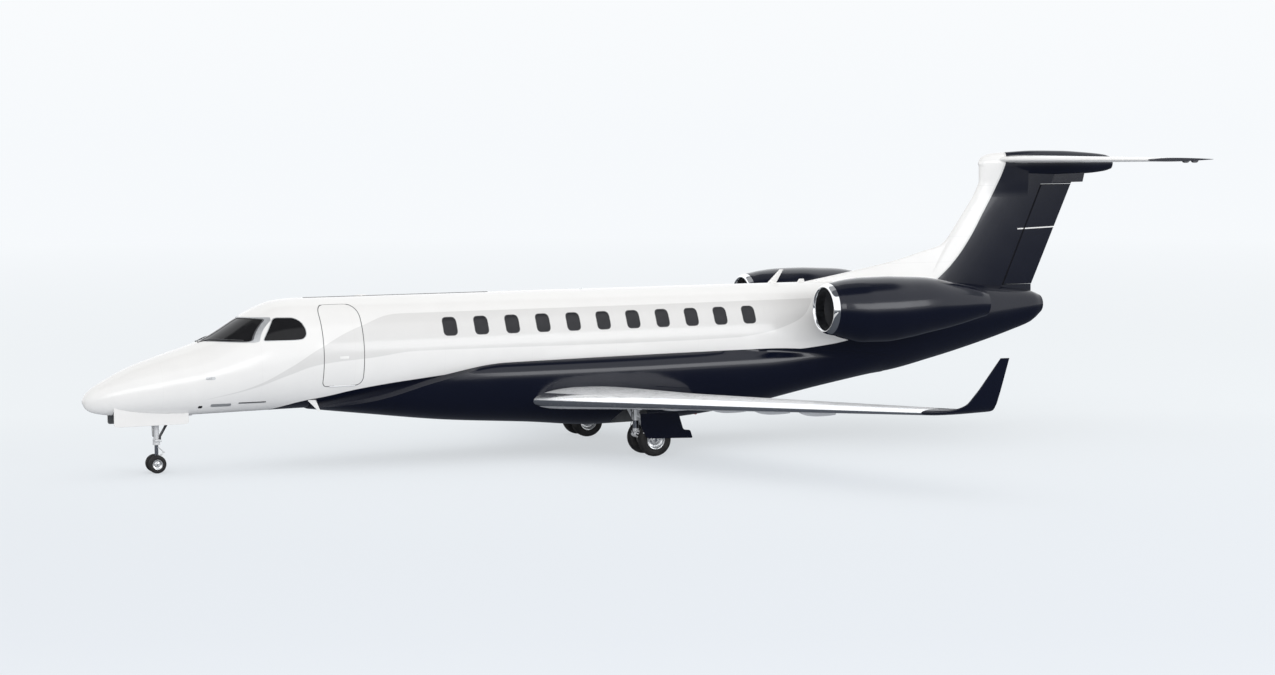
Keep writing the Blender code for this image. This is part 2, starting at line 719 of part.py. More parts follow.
def build_cockpit():
    cockpit = fuselage_shell("cockpit_section", COCKPIT_FRONT, COCKPIT_REAR, WHITE)
    for side, name in ((-1, "left"), (1, "right")):
        glass = fuselage_shell("windshield_" + name, COCKPIT_FRONT, COCKPIT_REAR, GLASS, -0.012, -0.04)
        keep(glass, windshield_prism(side, GLASS_FIT))
        cut(cockpit, windshield_prism(side))
        glass = fuselage_shell("side_window_" + name, COCKPIT_FRONT, COCKPIT_REAR, GLASS, -0.008, -0.04)
        keep(glass, side_prism(shrunk(SIDE_WINDOW, GLASS_FIT), side))
        cut(cockpit, side_prism(SIDE_WINDOW, side))


def window_prisms(side, by):
    bm = bmesh.new()
    for k in range(WINDOW_COUNT):
        middle, (wide, tall) = WINDOW_FIRST + k * WINDOW_PITCH, WINDOW_SIZE
        corners = chamfered(
            (middle - wide / 2, middle + wide / 2), (WINDOW_HEIGHT - tall / 2, WINDOW_HEIGHT + tall / 2),
            WINDOW_CORNERS, by,
        )
        rows = skin(bm, [[(x, side * y, z) for x, z in corners] for y in (0.8, 1.4)])
        bm.faces.new(rows[0])
        bm.faces.new(rows[1])
    return finish("prisms", bm, None)


def build_cabin():
    """The centre section, and on each side a strip of glass inside its wall with a pane in every window."""
    center = fuselage_shell("center_fuselage", CABIN_FRONT, CABIN_REAR, WHITE)
    past, low, high = WINDOW_BAND
    start, end = WINDOW_FIRST - past, WINDOW_FIRST + (WINDOW_COUNT - 1) * WINDOW_PITCH + past
    for side, name in ((-1, "left"), (1, "right")):
        cut(center, window_prisms(side, 0.0))
        panes = window_prisms(side, GLASS_FIT)
        keep(panes, fuselage_shell("shell", CABIN_FRONT, CABIN_REAR, None, -0.004, -WALL - 0.01))
        layer = (-WALL - GROW, -WALL - 0.02)
        strip = fuselage_shell("cabin_windows_" + name, CABIN_FRONT, CABIN_REAR, GLASS, *layer)
        reach = sorted((side * 0.5, side * 1.3))
        keep(strip, box("band", (start, reach[0], low), (end, reach[1], high)))
        join(strip, panes)


# Doors
def door_hinge():
    """Y and Z of the passenger door's hinge line, at the outer edge of its sill."""
    x = (DOOR_X[0] + DOOR_X[1]) / 2
    z = DOOR_Z[0] - DOOR_GAP
    half = breadth(x) * math.sqrt(1 - ((z - waist(x)) / (waist(x) - keel(x))) ** 2)
    return -half - 0.002, z


def knuckle(start, end, radius=KNUCKLE):
    y, z = door_hinge()
    return rod("knuckle", (start, y, z), (end, y, z), radius)


def build_forward_cabin():
    forward = fuselage_shell("forward_fuselage", COCKPIT_REAR, CABIN_FRONT, WHITE)
    door = fuselage_shell("passenger_door", COCKPIT_REAR, CABIN_FRONT, WHITE)
    keep(door, side_prism(chamfered(DOOR_X, DOOR_Z, DOOR_CORNERS, DOOR_GAP), -1, 0.3))
    cut(forward, side_prism(chamfered(DOOR_X, DOOR_Z, DOOR_CORNERS), -1, 0.3))
    left, right = DOOR_X[0] + KNUCKLE_INSET, DOOR_X[1] - KNUCKLE_INSET
    for start in (left, right - KNUCKLE_LENGTH):
        cut(door, knuckle(start - 0.001, start + KNUCKLE_LENGTH + 0.001, KNUCKLE + DOOR_GAP))
        join(forward, knuckle(start, start + KNUCKLE_LENGTH))
    left, right = left + KNUCKLE_LENGTH, right - KNUCKLE_LENGTH
    cut(forward, knuckle(left + SEAM / 2, right - SEAM / 2, KNUCKLE + DOOR_GAP))
    join(door, knuckle(left + SEAM, right - SEAM))
    hung(door, ((left + right) / 2, *door_hinge()))
    service = fuselage_shell("service_door", COCKPIT_REAR, CABIN_FRONT, WHITE)
    keep(service, side_prism(chamfered(SERVICE_X, SERVICE_Z, SERVICE_CORNERS, GROW), 1, 0.3))
    cut(forward, side_prism(chamfered(SERVICE_X, SERVICE_Z, SERVICE_CORNERS), 1, 0.3))


# Belly fairing
def build_fairing():
    fairing_solid("belly_fairing_front", FAIRING_FRONT, FAIRING_MIDDLE[0], NAVY)
    middle = fairing_solid("belly_fairing_center", *FAIRING_MIDDLE, NAVY)
    y, radius, low, high = WHEEL_WELL
    for side in (-1, 1):
        foot, head = (MAIN_GEAR_X, side * y, low), (MAIN_GEAR_X, side * y, high)
        cut(middle, rod("well", foot, head, radius, sides=20))
    fairing_solid("belly_fairing_rear", FAIRING_MIDDLE[1], TAIL_FRONT, NAVY)


# Wings
def aileron_hinge(y):
    """X, height and half thickness of the wing at the aileron's hinge line."""
    x, high, low = wing_at(y, AILERON_HINGE)
    return x, (high + low) / 2, (high - low) / 2


def flap_pod(side, y):
    """A slim pod under the wing that covers a flap hinge, ahead of the flap."""
    x, z = flap_hinge(y)
    end = x - FLAP_SLOT - 0.014
    rings = []
    for part, size in POD:
        centre = end - POD_LENGTH * (1 - part), z - 0.05 - 0.02 * part
        rings.append([
            (centre[0], side * y + 0.6 * size * math.cos(a), centre[1] + size * math.sin(a))
            for a in (2 * math.pi * k / 10 for k in range(10))
        ])
    return loft("pod", rings)


def build_flap(side, name, span, end):
    """A flap that stops short of the wall beyond one end, where its hinge pin is."""
    inset = list(span)
    inset[end] += END_GAP if end == 0 else -END_GAP
    flap = keep(wing_solid(side, name, SILVER), flap_block(side, inset, True))
    ends = hinge_ends(flap_hinge, lambda y, x, z: (x, side * y, z), inset)
    pinned(flap, ends[1 - end], ends[end], 1)
    hung(flap, (ends[0] + ends[1]) / 2)


def build_aileron(side, name):
    inset = (AILERON[0] + END_GAP, AILERON[1] - END_GAP)
    aileron = keep(wing_solid(side, name, SILVER), nose_block(aileron_hinge, across(side), inset, True))
    ends = hinge_ends(aileron_hinge, across(side), inset)
    pinned(aileron, ends[1], ends[0], 1)
    pinned(aileron, ends[0], ends[1], 1)
    hung(aileron, (ends[0] + ends[1]) / 2)


def build_wing(side, name):
    wing = wing_solid(side, "wing_" + name, SILVER)
    cut(wing, loft("root", [hull_ring(x) for x in FAIRING_STATIONS if -6.0 < x < 4.0]))
    cut(wing, flap_block(side, (FLAP_INBOARD[0], FLAP_INBOARD[1] + PANEL_GAP), False))
    cut(wing, flap_block(side, (FLAP_OUTBOARD[0] - PANEL_GAP, FLAP_OUTBOARD[1]), False))
    cut(wing, nose_block(aileron_hinge, across(side), AILERON, False))
    join(wing, *[flap_pod(side, y) for y in FAIRING_Y])
    front, rear, inner, outer, top = GEAR_SLOT
    reach = sorted((side * inner, side * outer))
    cut(wing, box("slot", (front, reach[0], 0.6), (rear, reach[1], top)))
    x, _, low = wing_at(JACK_Y, JACK_PART)
    root, foot = (x, side * JACK_Y, low + 0.10), (x, side * JACK_Y, low - JACK_PROUD)
    join(wing, rod("jack_pad", root, foot, JACK_RADIUS))
    build_flap(side, "inboard_flap_" + name, FLAP_INBOARD, 0)
    build_flap(side, "outboard_flap_" + name, FLAP_OUTBOARD, 1)
    build_aileron(side, "aileron_" + name)


def build_winglet(side, name):
    rings = []
    for y, z, x, chord, thick, cant in WINGLET:
        turn = math.radians(cant)
        up = (0.0, -side * math.sin(turn), math.cos(turn))
        rings.append(blade_ring((x, side * y, z), chord, thick, up, WING_CAMBER, WING_INCIDENCE))
    loft("winglet_" + name, rings, NAVY)


# Tail
def bullet_solid(name, grow=0.0, material=None):
    rings = []
    for i, (x, top, bottom, half) in enumerate(BULLET):
        x += grow * (-1 if i == 0 else 1 if i == len(BULLET) - 1 else 0)
        middle = (top + bottom) / 2
        rings.append([
            (x, (half + grow) * math.cos(a), middle + ((top - bottom) / 2 + grow) * math.sin(a))
            for a in (2 * math.pi * k / TURNED_SIDES for k in range(TURNED_SIDES))
        ])
    return loft(name, rings, material)


def fin_half(z):
    """X, sideways place and half thickness of the fin at its rudder hinge."""
    nose, tail = fin_leading(z), fin_trailing(z)
    part = (rudder_hinge(z) - nose) / (tail - nose)
    return rudder_hinge(z), 0.0, half_thickness(part, FIN_THICK) * (tail - nose)


def fin_solid(name):
    rings = []
    for z in FIN_STATIONS:
        nose, chord = fin_leading(z), fin_trailing(z) - fin_leading(z)
        rings.append(blade_ring((nose, 0.0, z), chord, FIN_THICK, (0, 1, 0)))
    return loft(name, rings, NAVY)


def dorsal_solid():
    """The low ridge that runs along the top of the fuselage into the fin."""
    rings = []
    for x, z in DORSAL:
        low, half = 3.2, 0.02 + 0.03 * (x - DORSAL[0][0])
        shoulder = z - 0.03
        rings.append([
            (x, -half, low), (x, half, low), (x, 0.045, shoulder), (x, 0.02, z), (x, -0.02, z),
            (x, -0.045, shoulder),
        ])
    return loft("dorsal", rings)


def build_fin():
    fin = join(fin_solid("fin"), dorsal_solid())
    join(fin, loft("rear_block", [[(x, y, z) for x, z in REAR_BLOCK] for y in (-0.07, 0.07)]))
    cut(fin, bullet_solid("trim", GROW))
    cut(fin, hull(2.50, CONE_END))
    cut(fin, nose_block(fin_half, upright, (FIN_STATIONS[0] - WALL, RUDDER_Z[1] + END_GAP), False))
    rudder = keep(fin_solid("rudder"), nose_block(fin_half, upright, RUDDER_Z, True))
    ends = hinge_ends(fin_half, upright, RUDDER_Z)
    pinned(rudder, ends[0], ends[1], 2)
    hung(rudder, (ends[0] + ends[1]) / 2)
    bullet_solid("bullet_fairing", 0.0, NAVY)


def elevator_half(y):
    """X, height and half thickness of the stabilizer at its elevator hinge."""
    nose, chord = stab_leading(y), stab_trailing(y) - stab_leading(y)
    return nose + ELEVATOR_HINGE * chord, STAB_HEIGHT, half_thickness(ELEVATOR_HINGE, STAB_THICK) * chord


def build_tailplane(side, name):
    rings = []
    for y in STAB_STATIONS:
        nose = (stab_leading(y), side * y, STAB_HEIGHT)
        rings.append(blade_ring(nose, stab_trailing(y) - stab_leading(y), STAB_THICK, (0, 0, 1)))
    stab = cut(loft("stabilizer_" + name, rings, WHITE), bullet_solid("trim", GROW))
    cut(stab, nose_block(elevator_half, across(side), ELEVATOR_Y, False))
    inset = (ELEVATOR_Y[0] + END_GAP, ELEVATOR_Y[1] - END_GAP)
    elevator = loft("elevator_" + name, rings, WHITE)
    keep(elevator, nose_block(elevator_half, across(side), inset, True))
    ends = hinge_ends(elevator_half, across(side), inset)
    pinned(elevator, ends[0], ends[1], 1)
    pinned(elevator, ends[1], ends[0], 1)
    hung(elevator, (ends[0] + ends[1]) / 2)


# Engines
def round_ring(x, y, z, radius):
    return [
        (x, y + radius * math.cos(a), z + radius * math.sin(a))
        for a in (2 * math.pi * k / ENGINE_SIDES for k in range(ENGINE_SIDES))
    ]


def cowl_rings(y, grow=0.0):
    return [round_ring(x, y, cowl_height(x), cowl_radius(x) + grow) for x, _, _ in COWL]


def duct_rings(y, grow=0.0):
    return [round_ring(x, y, ENGINE_Z, duct_radius(x) + grow) for x, _, _ in COWL]


def fan_blades(y):
    bm = bmesh.new()
    hub = Vector((0, y, ENGINE_Z))
    for k in range(FAN_BLADES):
        turn = Matrix.Rotation(2 * math.pi * k / FAN_BLADES, 4, "X")
        rings = []
        for radius, half, twist in (BLADE_ROOT, BLADE_TIP):
            a = math.radians(twist)
            ring = []
            for u, v in ((-half, -BLADE_HALF), (half, -BLADE_HALF), (half, BLADE_HALF), (-half, BLADE_HALF)):
                across_x, along_y = u * math.cos(a) - v * math.sin(a), u * math.sin(a) + v * math.cos(a)
                ring.append(tuple(hub + turn @ Vector((BLADE_X + across_x, along_y, radius))))
            rings.append(ring)
        rows = skin(bm, rings)
        bm.faces.new(rows[0])
        bm.faces.new(rows[1])
    return finish("blades", bm, None)


def vane(y, turn):
    """A flat strut right across the duct, which holds the engine's block."""
    reach = Vector((0, math.cos(turn), math.sin(turn))) * VANE_REACH
    wide = Vector((0, -math.sin(turn), math.cos(turn))) * VANE_HALF
    centre = Vector((0, y, ENGINE_Z))
    ring = [centre + reach + wide, centre - reach + wide, centre - reach - wide, centre + reach - wide]
    return loft("vane", [[(x, p.y, p.z) for p in ring] for x in VANE_X])


def build_engine(side, name):
    y = side * ENGINE_Y
    centre = (0, y, ENGINE_Z)
    tube("nacelle_" + name, cowl_rings(y), duct_rings(y), NAVY)
    turned("inlet_lip_" + name, LIP, centre, (1, 0, 0), ENGINE_SIDES, CHROME)
    fan = turned("fan_" + name, SPINNER, centre, (1, 0, 0), TURNED_SIDES, TITANIUM)
    join(fan, fan_blades(y))
    hung(fan, (FAN_X, y, ENGINE_Z))
    vanes = join(vane(y, 0.0), vane(y, math.pi / 2))
    keep(vanes, loft("limit", duct_rings(y, -GROW)))
    join(turned("engine_" + name, CORE, centre, (1, 0, 0), TURNED_SIDES, STEEL), vanes)


def build_pylon(side, name):
    rings = []
    for y in PYLON_Y:
        upper = [(x, side * y, PYLON_Z + half) for x, half in PYLON]
        lower = [(x, side * y, PYLON_Z - half) for x, half in PYLON]
        rings.append(upper + lower[::-1])
    pylon = loft("pylon_" + name, rings, NAVY)
    cut(pylon, loft("cowl", cowl_rings(side * ENGINE_Y, GROW)))
    cut(pylon, hull(2.50, CONE_FRONT))


# Landing gear
def bore(x, y, z, reach, axle):
    """A many-sided hole through a boss, which the axle turns in with half a millimetre to spare."""
    half_step = math.pi / WHEEL_SIDES
    radius = (axle + GROW) / math.cos(half_step)
    return rod("bore", (x, y - reach, z), (x, y + reach, z), radius, sides=WHEEL_SIDES, spin=half_step)


def twin_wheels(name, centre, tyre, twin, hub, axle):
    """Two wheels and the axle that turns with them, as one turned solid."""
    radius, half = tyre[0], tyre[1] / 2
    one = [
        (half * 0.70, 0.0), (half * 0.70, hub * 0.30), (half * 0.25, hub * 0.42), (half * 0.25, hub * 0.88),
        (half * 0.80, hub), (half, radius * 0.70), (half * 0.94, radius * 0.88),
        (half * 0.55, radius * 0.985), (0.0, radius), (-half * 0.55, radius * 0.985),
        (-half * 0.94, radius * 0.88), (-half, radius * 0.70),
        (-half * 0.80, hub), (-half * 0.30, hub * 0.85), (-half * 0.30, axle),
    ]
    outer = [(twin + d, r) for d, r in one]
    inner = [(-d, r) for d, r in outer[::-1]]
    hung(turned(name, outer + inner, centre, (0, 1, 0), WHEEL_SIDES, RUBBER), centre)


def build_nose_leg():
    x = NOSE_GEAR_X + NOSE_TRAIL
    wall = NOSE_BAY[2] - SEAM
    leg = rod("nose_leg", (x, 0, NOSE_BAY[3] - SEAM), (x, 0, NOSE_TURN_Z), NOSE_STRUT, STEEL)
    join(leg, rod("collar", (x, 0, NOSE_TURN_Z + 0.12), (x, 0, NOSE_TURN_Z), 0.075))
    join(leg, rod("trunnion", (x, -wall, NOSE_TRUNNION), (x, wall, NOSE_TRUNNION), 0.04))
    brace_x, brace_z, radius = NOSE_BRACE
    join(leg, rod("brace", (x, 0, NOSE_TURN_Z + 0.08), (brace_x, 0, brace_z), radius))
    join(leg, rod("brace_pin", (brace_x, -wall, brace_z), (brace_x, wall, brace_z), radius))


def build_nose_steering():
    x, axle_z = NOSE_GEAR_X + NOSE_TRAIL, NOSE_TYRE[0]
    fork = rod("nose_steering", (x, 0, NOSE_TURN_Z - SEAM), (x, 0, axle_z + 0.065), NOSE_PISTON, STEEL)
    join(fork, rod("boss", (NOSE_GEAR_X, -0.055, axle_z), (NOSE_GEAR_X, 0.055, axle_z), 0.052))
    join(fork, box("neck", (x - 0.045, -0.045, axle_z), (x + 0.045, 0.045, axle_z + 0.105)))
    back, top, knee, foot, radius = NOSE_LINK
    join(fork, rod("upper_link", (x, 0, top), (x + back, 0, knee), radius))
    join(fork, rod("lower_link", (x + back, 0, knee), (x, 0, foot), radius))
    ahead, half, low, high = TOW_LUG
    join(fork, box("tow_lug", (x - ahead, -half, low), (x, half, high)))
    cut(fork, bore(NOSE_GEAR_X, 0, axle_z, NOSE_TWIN, NOSE_AXLE))
    hung(fork, (x, 0, NOSE_TURN_Z))


def build_nose_gear():
    build_nose_leg()
    build_nose_steering()
    twin_wheels("nose_wheels", (NOSE_GEAR_X, 0, NOSE_TYRE[0]), NOSE_TYRE, NOSE_TWIN, NOSE_HUB, NOSE_AXLE)
    front, rear, inner, outer, low, high = NOSE_DOOR
    for side, name in ((-1, "left"), (1, "right")):
        reach = sorted((side * inner, side * outer))
        door = box("nose_gear_door_" + name, (front, reach[0], low), (rear, reach[1], high), WHITE)
        cut(door, hull(-12.95, -10.30))


def build_main_gear(side, name):
    y, axle_z = side * MAIN_GEAR_Y, MAIN_TYRE[0]
    leg = rod("main_leg_" + name, (STRUT_X, y, GEAR_SLOT[4] - SEAM), (STRUT_X, y, STRUT_FOOT), STRUT, STEEL)
    half, radius = KNEE
    join(leg, rod("knee", (STRUT_X, y - half, STRUT_FOOT), (STRUT_X, y + half, STRUT_FOOT), radius))
    join(leg, rod("arm", (STRUT_X, y, STRUT_FOOT), (MAIN_GEAR_X, y, axle_z), ARM))
    half, radius = MAIN_BOSS
    join(leg, rod("boss", (MAIN_GEAR_X, y - half, axle_z), (MAIN_GEAR_X, y + half, axle_z), radius))
    join(leg, rod("damper", (MAIN_GEAR_X - 0.08, y, axle_z + 0.06), (STRUT_X + 0.02, y, 0.98), DAMPER))
    low, high, radius = BRACE
    join(leg, rod("side_brace", (STRUT_X, y, low), (STRUT_X, side * BRACE_Y, high), radius))
    cut(leg, bore(MAIN_GEAR_X, y, axle_z, MAIN_TWIN, MAIN_AXLE))
    twin_wheels("main_wheels_" + name, (MAIN_GEAR_X, y, axle_z), MAIN_TYRE, MAIN_TWIN, MAIN_HUB, MAIN_AXLE)
    plate_y = side * PLATE_Y
    rings = [[(px, plate_y + d, pz) for px, pz in GEAR_PLATE] for d in (-PLATE_HALF, PLATE_HALF)]
    plate = loft("main_gear_door_" + name, rings, NAVY)
    z, radius = PLATE_ARM
    join(plate, rod("arm", (STRUT_X, plate_y, z), (STRUT_X, y + side * (STRUT + SEAM), z), radius))


def build():
    build_nose()
    build_cockpit()
    build_forward_cabin()
    build_cabin()
    build_rear()
    build_floor()
    build_fairing()
    for side, name in ((-1, "left"), (1, "right")):
        build_wing(side, name)
        build_winglet(side, name)
        build_tailplane(side, name)
        build_engine(side, name)
        build_pylon(side, name)
        build_main_gear(side, name)
    build_fin()
    build_nose_gear()


build()
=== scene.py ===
"""The looks of the business jet: smooth skins, glass, paint, wheels, small fittings, light and camera.

Metres, +Z up, nose along -X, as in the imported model. Every piece is built in its final place.
"""

import functools
import math

import bmesh
import bpy
from mathutils import Matrix, Vector


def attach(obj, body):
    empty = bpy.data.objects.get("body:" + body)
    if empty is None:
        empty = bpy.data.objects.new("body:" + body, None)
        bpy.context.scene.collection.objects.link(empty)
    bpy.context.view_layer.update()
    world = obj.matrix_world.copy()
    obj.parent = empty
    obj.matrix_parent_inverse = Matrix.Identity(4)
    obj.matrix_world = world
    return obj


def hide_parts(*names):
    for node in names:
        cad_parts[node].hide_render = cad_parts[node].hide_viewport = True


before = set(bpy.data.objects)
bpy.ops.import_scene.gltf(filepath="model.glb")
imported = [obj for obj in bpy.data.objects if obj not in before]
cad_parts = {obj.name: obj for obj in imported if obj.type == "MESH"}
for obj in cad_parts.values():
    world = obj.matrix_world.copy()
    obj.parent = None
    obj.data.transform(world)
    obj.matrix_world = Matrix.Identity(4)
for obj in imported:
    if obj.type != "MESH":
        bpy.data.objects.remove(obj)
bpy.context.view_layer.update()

# Sizes shared with the model
SEAM = 0.0003
WALL = 0.09
TAIL_WALL = 0.06
HALF_LENGTH = 13.165
CROWN = [
    (-13.165, 1.64), (-13.10, 1.76), (-12.95, 1.89), (-12.62, 2.08), (-12.20, 2.29), (-11.50, 2.53),
    (-10.60, 2.82), (-9.74, 3.31), (-9.40, 3.49), (-9.00, 3.63), (-8.60, 3.665), (-8.30, 3.668),
    (2.50, 3.655), (5.20, 3.64), (7.90, 3.56), (9.70, 3.37), (10.45, 3.25), (10.712, 3.14),
]
KEEL = [
    (-13.165, 1.57), (-13.10, 1.45), (-12.95, 1.36), (-12.62, 1.295), (-12.20, 1.258), (-11.20, 1.222),
    (-9.40, 1.24), (-8.30, 1.248), (2.50, 1.248), (4.30, 1.275), (6.10, 1.40), (7.575, 1.685),
    (8.889, 2.00), (9.888, 2.28), (10.45, 2.47), (10.712, 2.68),
]
BREADTH = [
    (-13.165, 0.035), (-13.10, 0.15), (-12.95, 0.26), (-12.62, 0.405), (-12.20, 0.545), (-11.50, 0.74),
    (-10.60, 0.93), (-9.74, 1.09), (-9.00, 1.175), (-8.30, 1.21), (2.50, 1.21), (4.30, 1.16),
    (6.10, 1.00), (7.575, 0.80), (8.889, 0.58), (9.888, 0.42), (10.45, 0.33), (10.712, 0.23),
]
WAIST = [
    (-13.165, 1.605), (-12.62, 1.70), (-11.50, 1.88), (-10.60, 2.04), (-9.74, 2.23), (-9.00, 2.40),
    (-8.30, 2.458), (4.30, 2.458), (6.10, 2.50), (7.575, 2.62), (8.889, 2.75), (9.888, 2.84), (10.712, 2.91),
]
NOSE_JOINT = -12.62
COCKPIT_FRONT = -10.75
COCKPIT_REAR = -8.42
CABIN_FRONT = -5.70
CABIN_REAR = 2.50
TAIL_FRONT = 6.10
CONE_FRONT = 9.70
CONE_END = 10.712
WINDOW_COUNT = 11
WINDOW_FIRST = -5.279
WINDOW_PITCH = 0.735
WINDOW_SIZE = (0.31, 0.38)
WINDOW_HEIGHT = 3.00
DOOR_X = (-8.19, -7.29)
DOOR_Z = (1.79, 3.54)
SERVICE_X = (-8.05, -7.45)
SERVICE_Z = (1.79, 3.20)
DOOR_GAP = 0.006
FAIRING_KEEL = [
    (-8.30, 1.23), (-7.04, 1.065), (-5.16, 0.832), (-3.23, 0.684), (-1.50, 0.540), (-0.40, 0.548),
    (0.80, 0.62), (3.14, 0.918), (5.01, 1.168), (6.10, 1.36),
]
FAIRING_BREADTH = [
    (-8.30, 0.95), (-6.00, 1.22), (-3.40, 1.38), (-1.00, 1.43), (2.00, 1.33), (4.30, 1.10), (6.10, 0.85),
]
FAIRING_EDGE = [
    (-8.30, 1.36), (-7.00, 1.60), (-5.60, 1.90), (-4.00, 2.15), (2.50, 2.20), (4.50, 2.05), (6.10, 1.85),
]
WING_LEADING = [(0.9, -3.626), (1.3, -3.396), (9.9, 1.53)]
WING_CHORD = [(0.9, 4.13), (1.3, 3.95), (3.6, 2.95), (9.9, 1.36)]
WING_HEIGHT = [(0.9, 1.277), (9.9, 1.65)]
WING_THICK = [(0.9, 0.130), (3.6, 0.120), (9.9, 0.100)]
WING_INCIDENCE = math.radians(2.0)
WING_CAMBER = 0.012
FLAP_INBOARD = (1.62, 3.585)
FLAP_OUTBOARD = (3.615, 7.05)
AILERON = (7.17, 9.50)
END_GAP = 0.02
WINGLET = [
    (9.9003, 1.650, 1.530, 1.360, 0.100, 0.0), (10.100, 1.665, 1.740, 1.200, 0.095, 8.0),
    (10.260, 1.700, 2.000, 0.960, 0.090, 30.0), (10.360, 1.800, 2.260, 0.710, 0.090, 58.0),
    (10.430, 2.020, 2.450, 0.560, 0.090, 78.0), (10.575, 2.740, 2.943, 0.203, 0.090, 80.0),
]
FIN_LEADING = [(3.20, 7.05), (4.573, 8.04), (5.947, 9.025), (6.40, 9.35)]
FIN_TRAILING = [(3.20, 10.394), (6.40, 11.870)]
RUDDER_Z = (3.42, 5.90)
RUDDER_HINGE = [(3.20, 9.525), (6.40, 10.956)]
DORSAL = [(3.9, 3.62), (5.38, 3.871), (6.59, 4.10), (7.34, 4.30), (7.89, 4.45), (8.04, 4.573), (8.35, 4.99)]
STAB_LEADING = [(0.05, 9.40), (3.775, 11.42)]
STAB_TRAILING = [(0.05, 11.72), (3.775, 13.165)]
STAB_HEIGHT = 6.53
STAB_THICK = 0.085
STAB_THINNING = 0.035
STAB_ROOT = 0.05
STAB_TIP = 3.775
ELEVATOR_Y = (0.30, 3.55)
ELEVATOR_HINGE = 0.67
BULLET = [
    (8.94, 6.47, 6.40, 0.03), (9.03, 6.590, 6.26, 0.09), (9.30, 6.677, 6.15, 0.14), (9.75, 6.71, 6.10, 0.18),
    (10.50, 6.741, 6.11, 0.20), (11.30, 6.730, 6.13, 0.20), (12.10, 6.681, 6.155, 0.17),
    (12.65, 6.62, 6.21, 0.13), (12.829, 6.56, 6.26, 0.11),
]
ENGINE_Y = 2.151
ENGINE_Z = 3.150
COWL = [
    (3.74, 3.150, 0.620), (4.00, 3.130, 0.685), (4.45, 3.100, 0.755), (5.06, 3.100, 0.764),
    (5.67, 3.122, 0.717), (6.30, 3.155, 0.637), (6.92, 3.150, 0.518), (7.50, 3.155, 0.385),
    (7.80, 3.140, 0.300),
]
DUCT = [
    (3.74, 0.475), (4.30, 0.485), (5.20, 0.485), (6.30, 0.44), (6.92, 0.38), (7.50, 0.31), (7.80, 0.272),
]
NOSE_GEAR_X = -11.623
NOSE_TYRE = (0.195, 0.13)
NOSE_TWIN = 0.14
MAIN_GEAR_X = -0.884
MAIN_GEAR_Y = 1.97
MAIN_TYRE = (0.38, 0.24)
MAIN_TWIN = 0.30
STRUT_X = -1.20
SIDES = ((-1, "left"), (1, "right"))

# Fineness and sharpness of the smooth skins
SHARP = 40
ROUND = 96
RING_STEP = 0.15
WING_POINTS = 30


# Curves through measured points
def curve(points):
    """A smooth function through the points, which never swings past them."""
    xs = [p[0] for p in points]
    ys = [p[1] for p in points]
    rise = [(ys[i + 1] - ys[i]) / (xs[i + 1] - xs[i]) for i in range(len(xs) - 1)]
    slope = [rise[0]]
    for a, b in zip(rise, rise[1:]):
        slope.append(2 * a * b / (a + b) if a * b > 0 else 0.0)
    slope.append(rise[-1])

    def value(x):
        if x <= xs[0]:
            return ys[0]
        if x >= xs[-1]:
            return ys[-1]
        i = max(k for k in range(len(xs) - 1) if xs[k] <= x)
        h = xs[i + 1] - xs[i]
        t = (x - xs[i]) / h
        return (
            ys[i] * (1 + 2 * t) * (1 - t) ** 2
            + ys[i + 1] * t * t * (3 - 2 * t)
            + slope[i] * h * t * (1 - t) ** 2
            - slope[i + 1] * h * t * t * (1 - t)
        )

    return value


def straight(points):
    """A function that runs in straight lines from point to point."""

    def value(x):
        for (x0, y0), (x1, y1) in zip(points, points[1:]):
            if x <= x1:
                return y0 + (y1 - y0) * (x - x0) / (x1 - x0)
        return points[-1][1]

    return value


crown = curve(CROWN)
keel = curve(KEEL)
breadth = curve(BREADTH)
waist = curve(WAIST)
fairing_keel = curve(FAIRING_KEEL)
fairing_breadth = curve(FAIRING_BREADTH)
fairing_top = curve(FAIRING_EDGE)
wing_leading = straight(WING_LEADING)
wing_chord = straight(WING_CHORD)
wing_height = straight(WING_HEIGHT)
wing_thick = straight(WING_THICK)
fin_leading = straight(FIN_LEADING)
fin_trailing = straight(FIN_TRAILING)
rudder_hinge = straight(RUDDER_HINGE)
stab_leading = straight(STAB_LEADING)
stab_trailing = straight(STAB_TRAILING)
cowl_height = curve([(x, z) for x, z, _ in COWL])
cowl_radius = curve([(x, r) for x, _, r in COWL])
duct_radius = curve(DUCT)


# Rows of values
def spread(start, end, step):
    """Evenly spaced values from start to end, about a step apart."""
    count = max(1, round((end - start) / step))
    return [start + (end - start) * k / count for k in range(count + 1)]


def crowded(start, length, count, power):
    """Values over a length, closer together near its start."""
    return [start + length * (k / count) ** power for k in range(count + 1)]


def around(count):
    """Angles evenly spaced round a full turn."""
    return [2 * math.pi * k / count for k in range(count)]


def arc(start, sweep, count):
    """Angles from the start over a sweep, in this many steps."""
    return [start + sweep * k / count for k in range(count + 1)]


def oval(x, y, z, wide, tall, sides):
    """A ring of points across X, from its half width and half height."""
    return [(x, y + wide * math.cos(a), z + tall * math.sin(a)) for a in around(sides)]


# Shader nodes
CLOUD_RANGE = (0.3, 0.7)


def feed(tree, socket, value):
    """Joins a socket to another one, or sets its value."""
    if isinstance(value, bpy.types.NodeSocket):
        tree.links.new(value, socket)
    elif socket.type == "RGBA":
        socket.default_value = (*value, 1.0)
    else:
        socket.default_value = value


def node(tree, kind, values=None, **settings):
    """A new node, with its settings and the values of its inputs."""
    made = tree.nodes.new(kind)
    for key, value in settings.items():
        setattr(made, key, value)
    for key, value in (values or {}).items():
        feed(tree, made.inputs[key], value)
    return made


def sums(tree, operation, *values):
    """A Math node's result."""
    return node(tree, "ShaderNodeMath", dict(enumerate(values)), operation=operation).outputs[0]


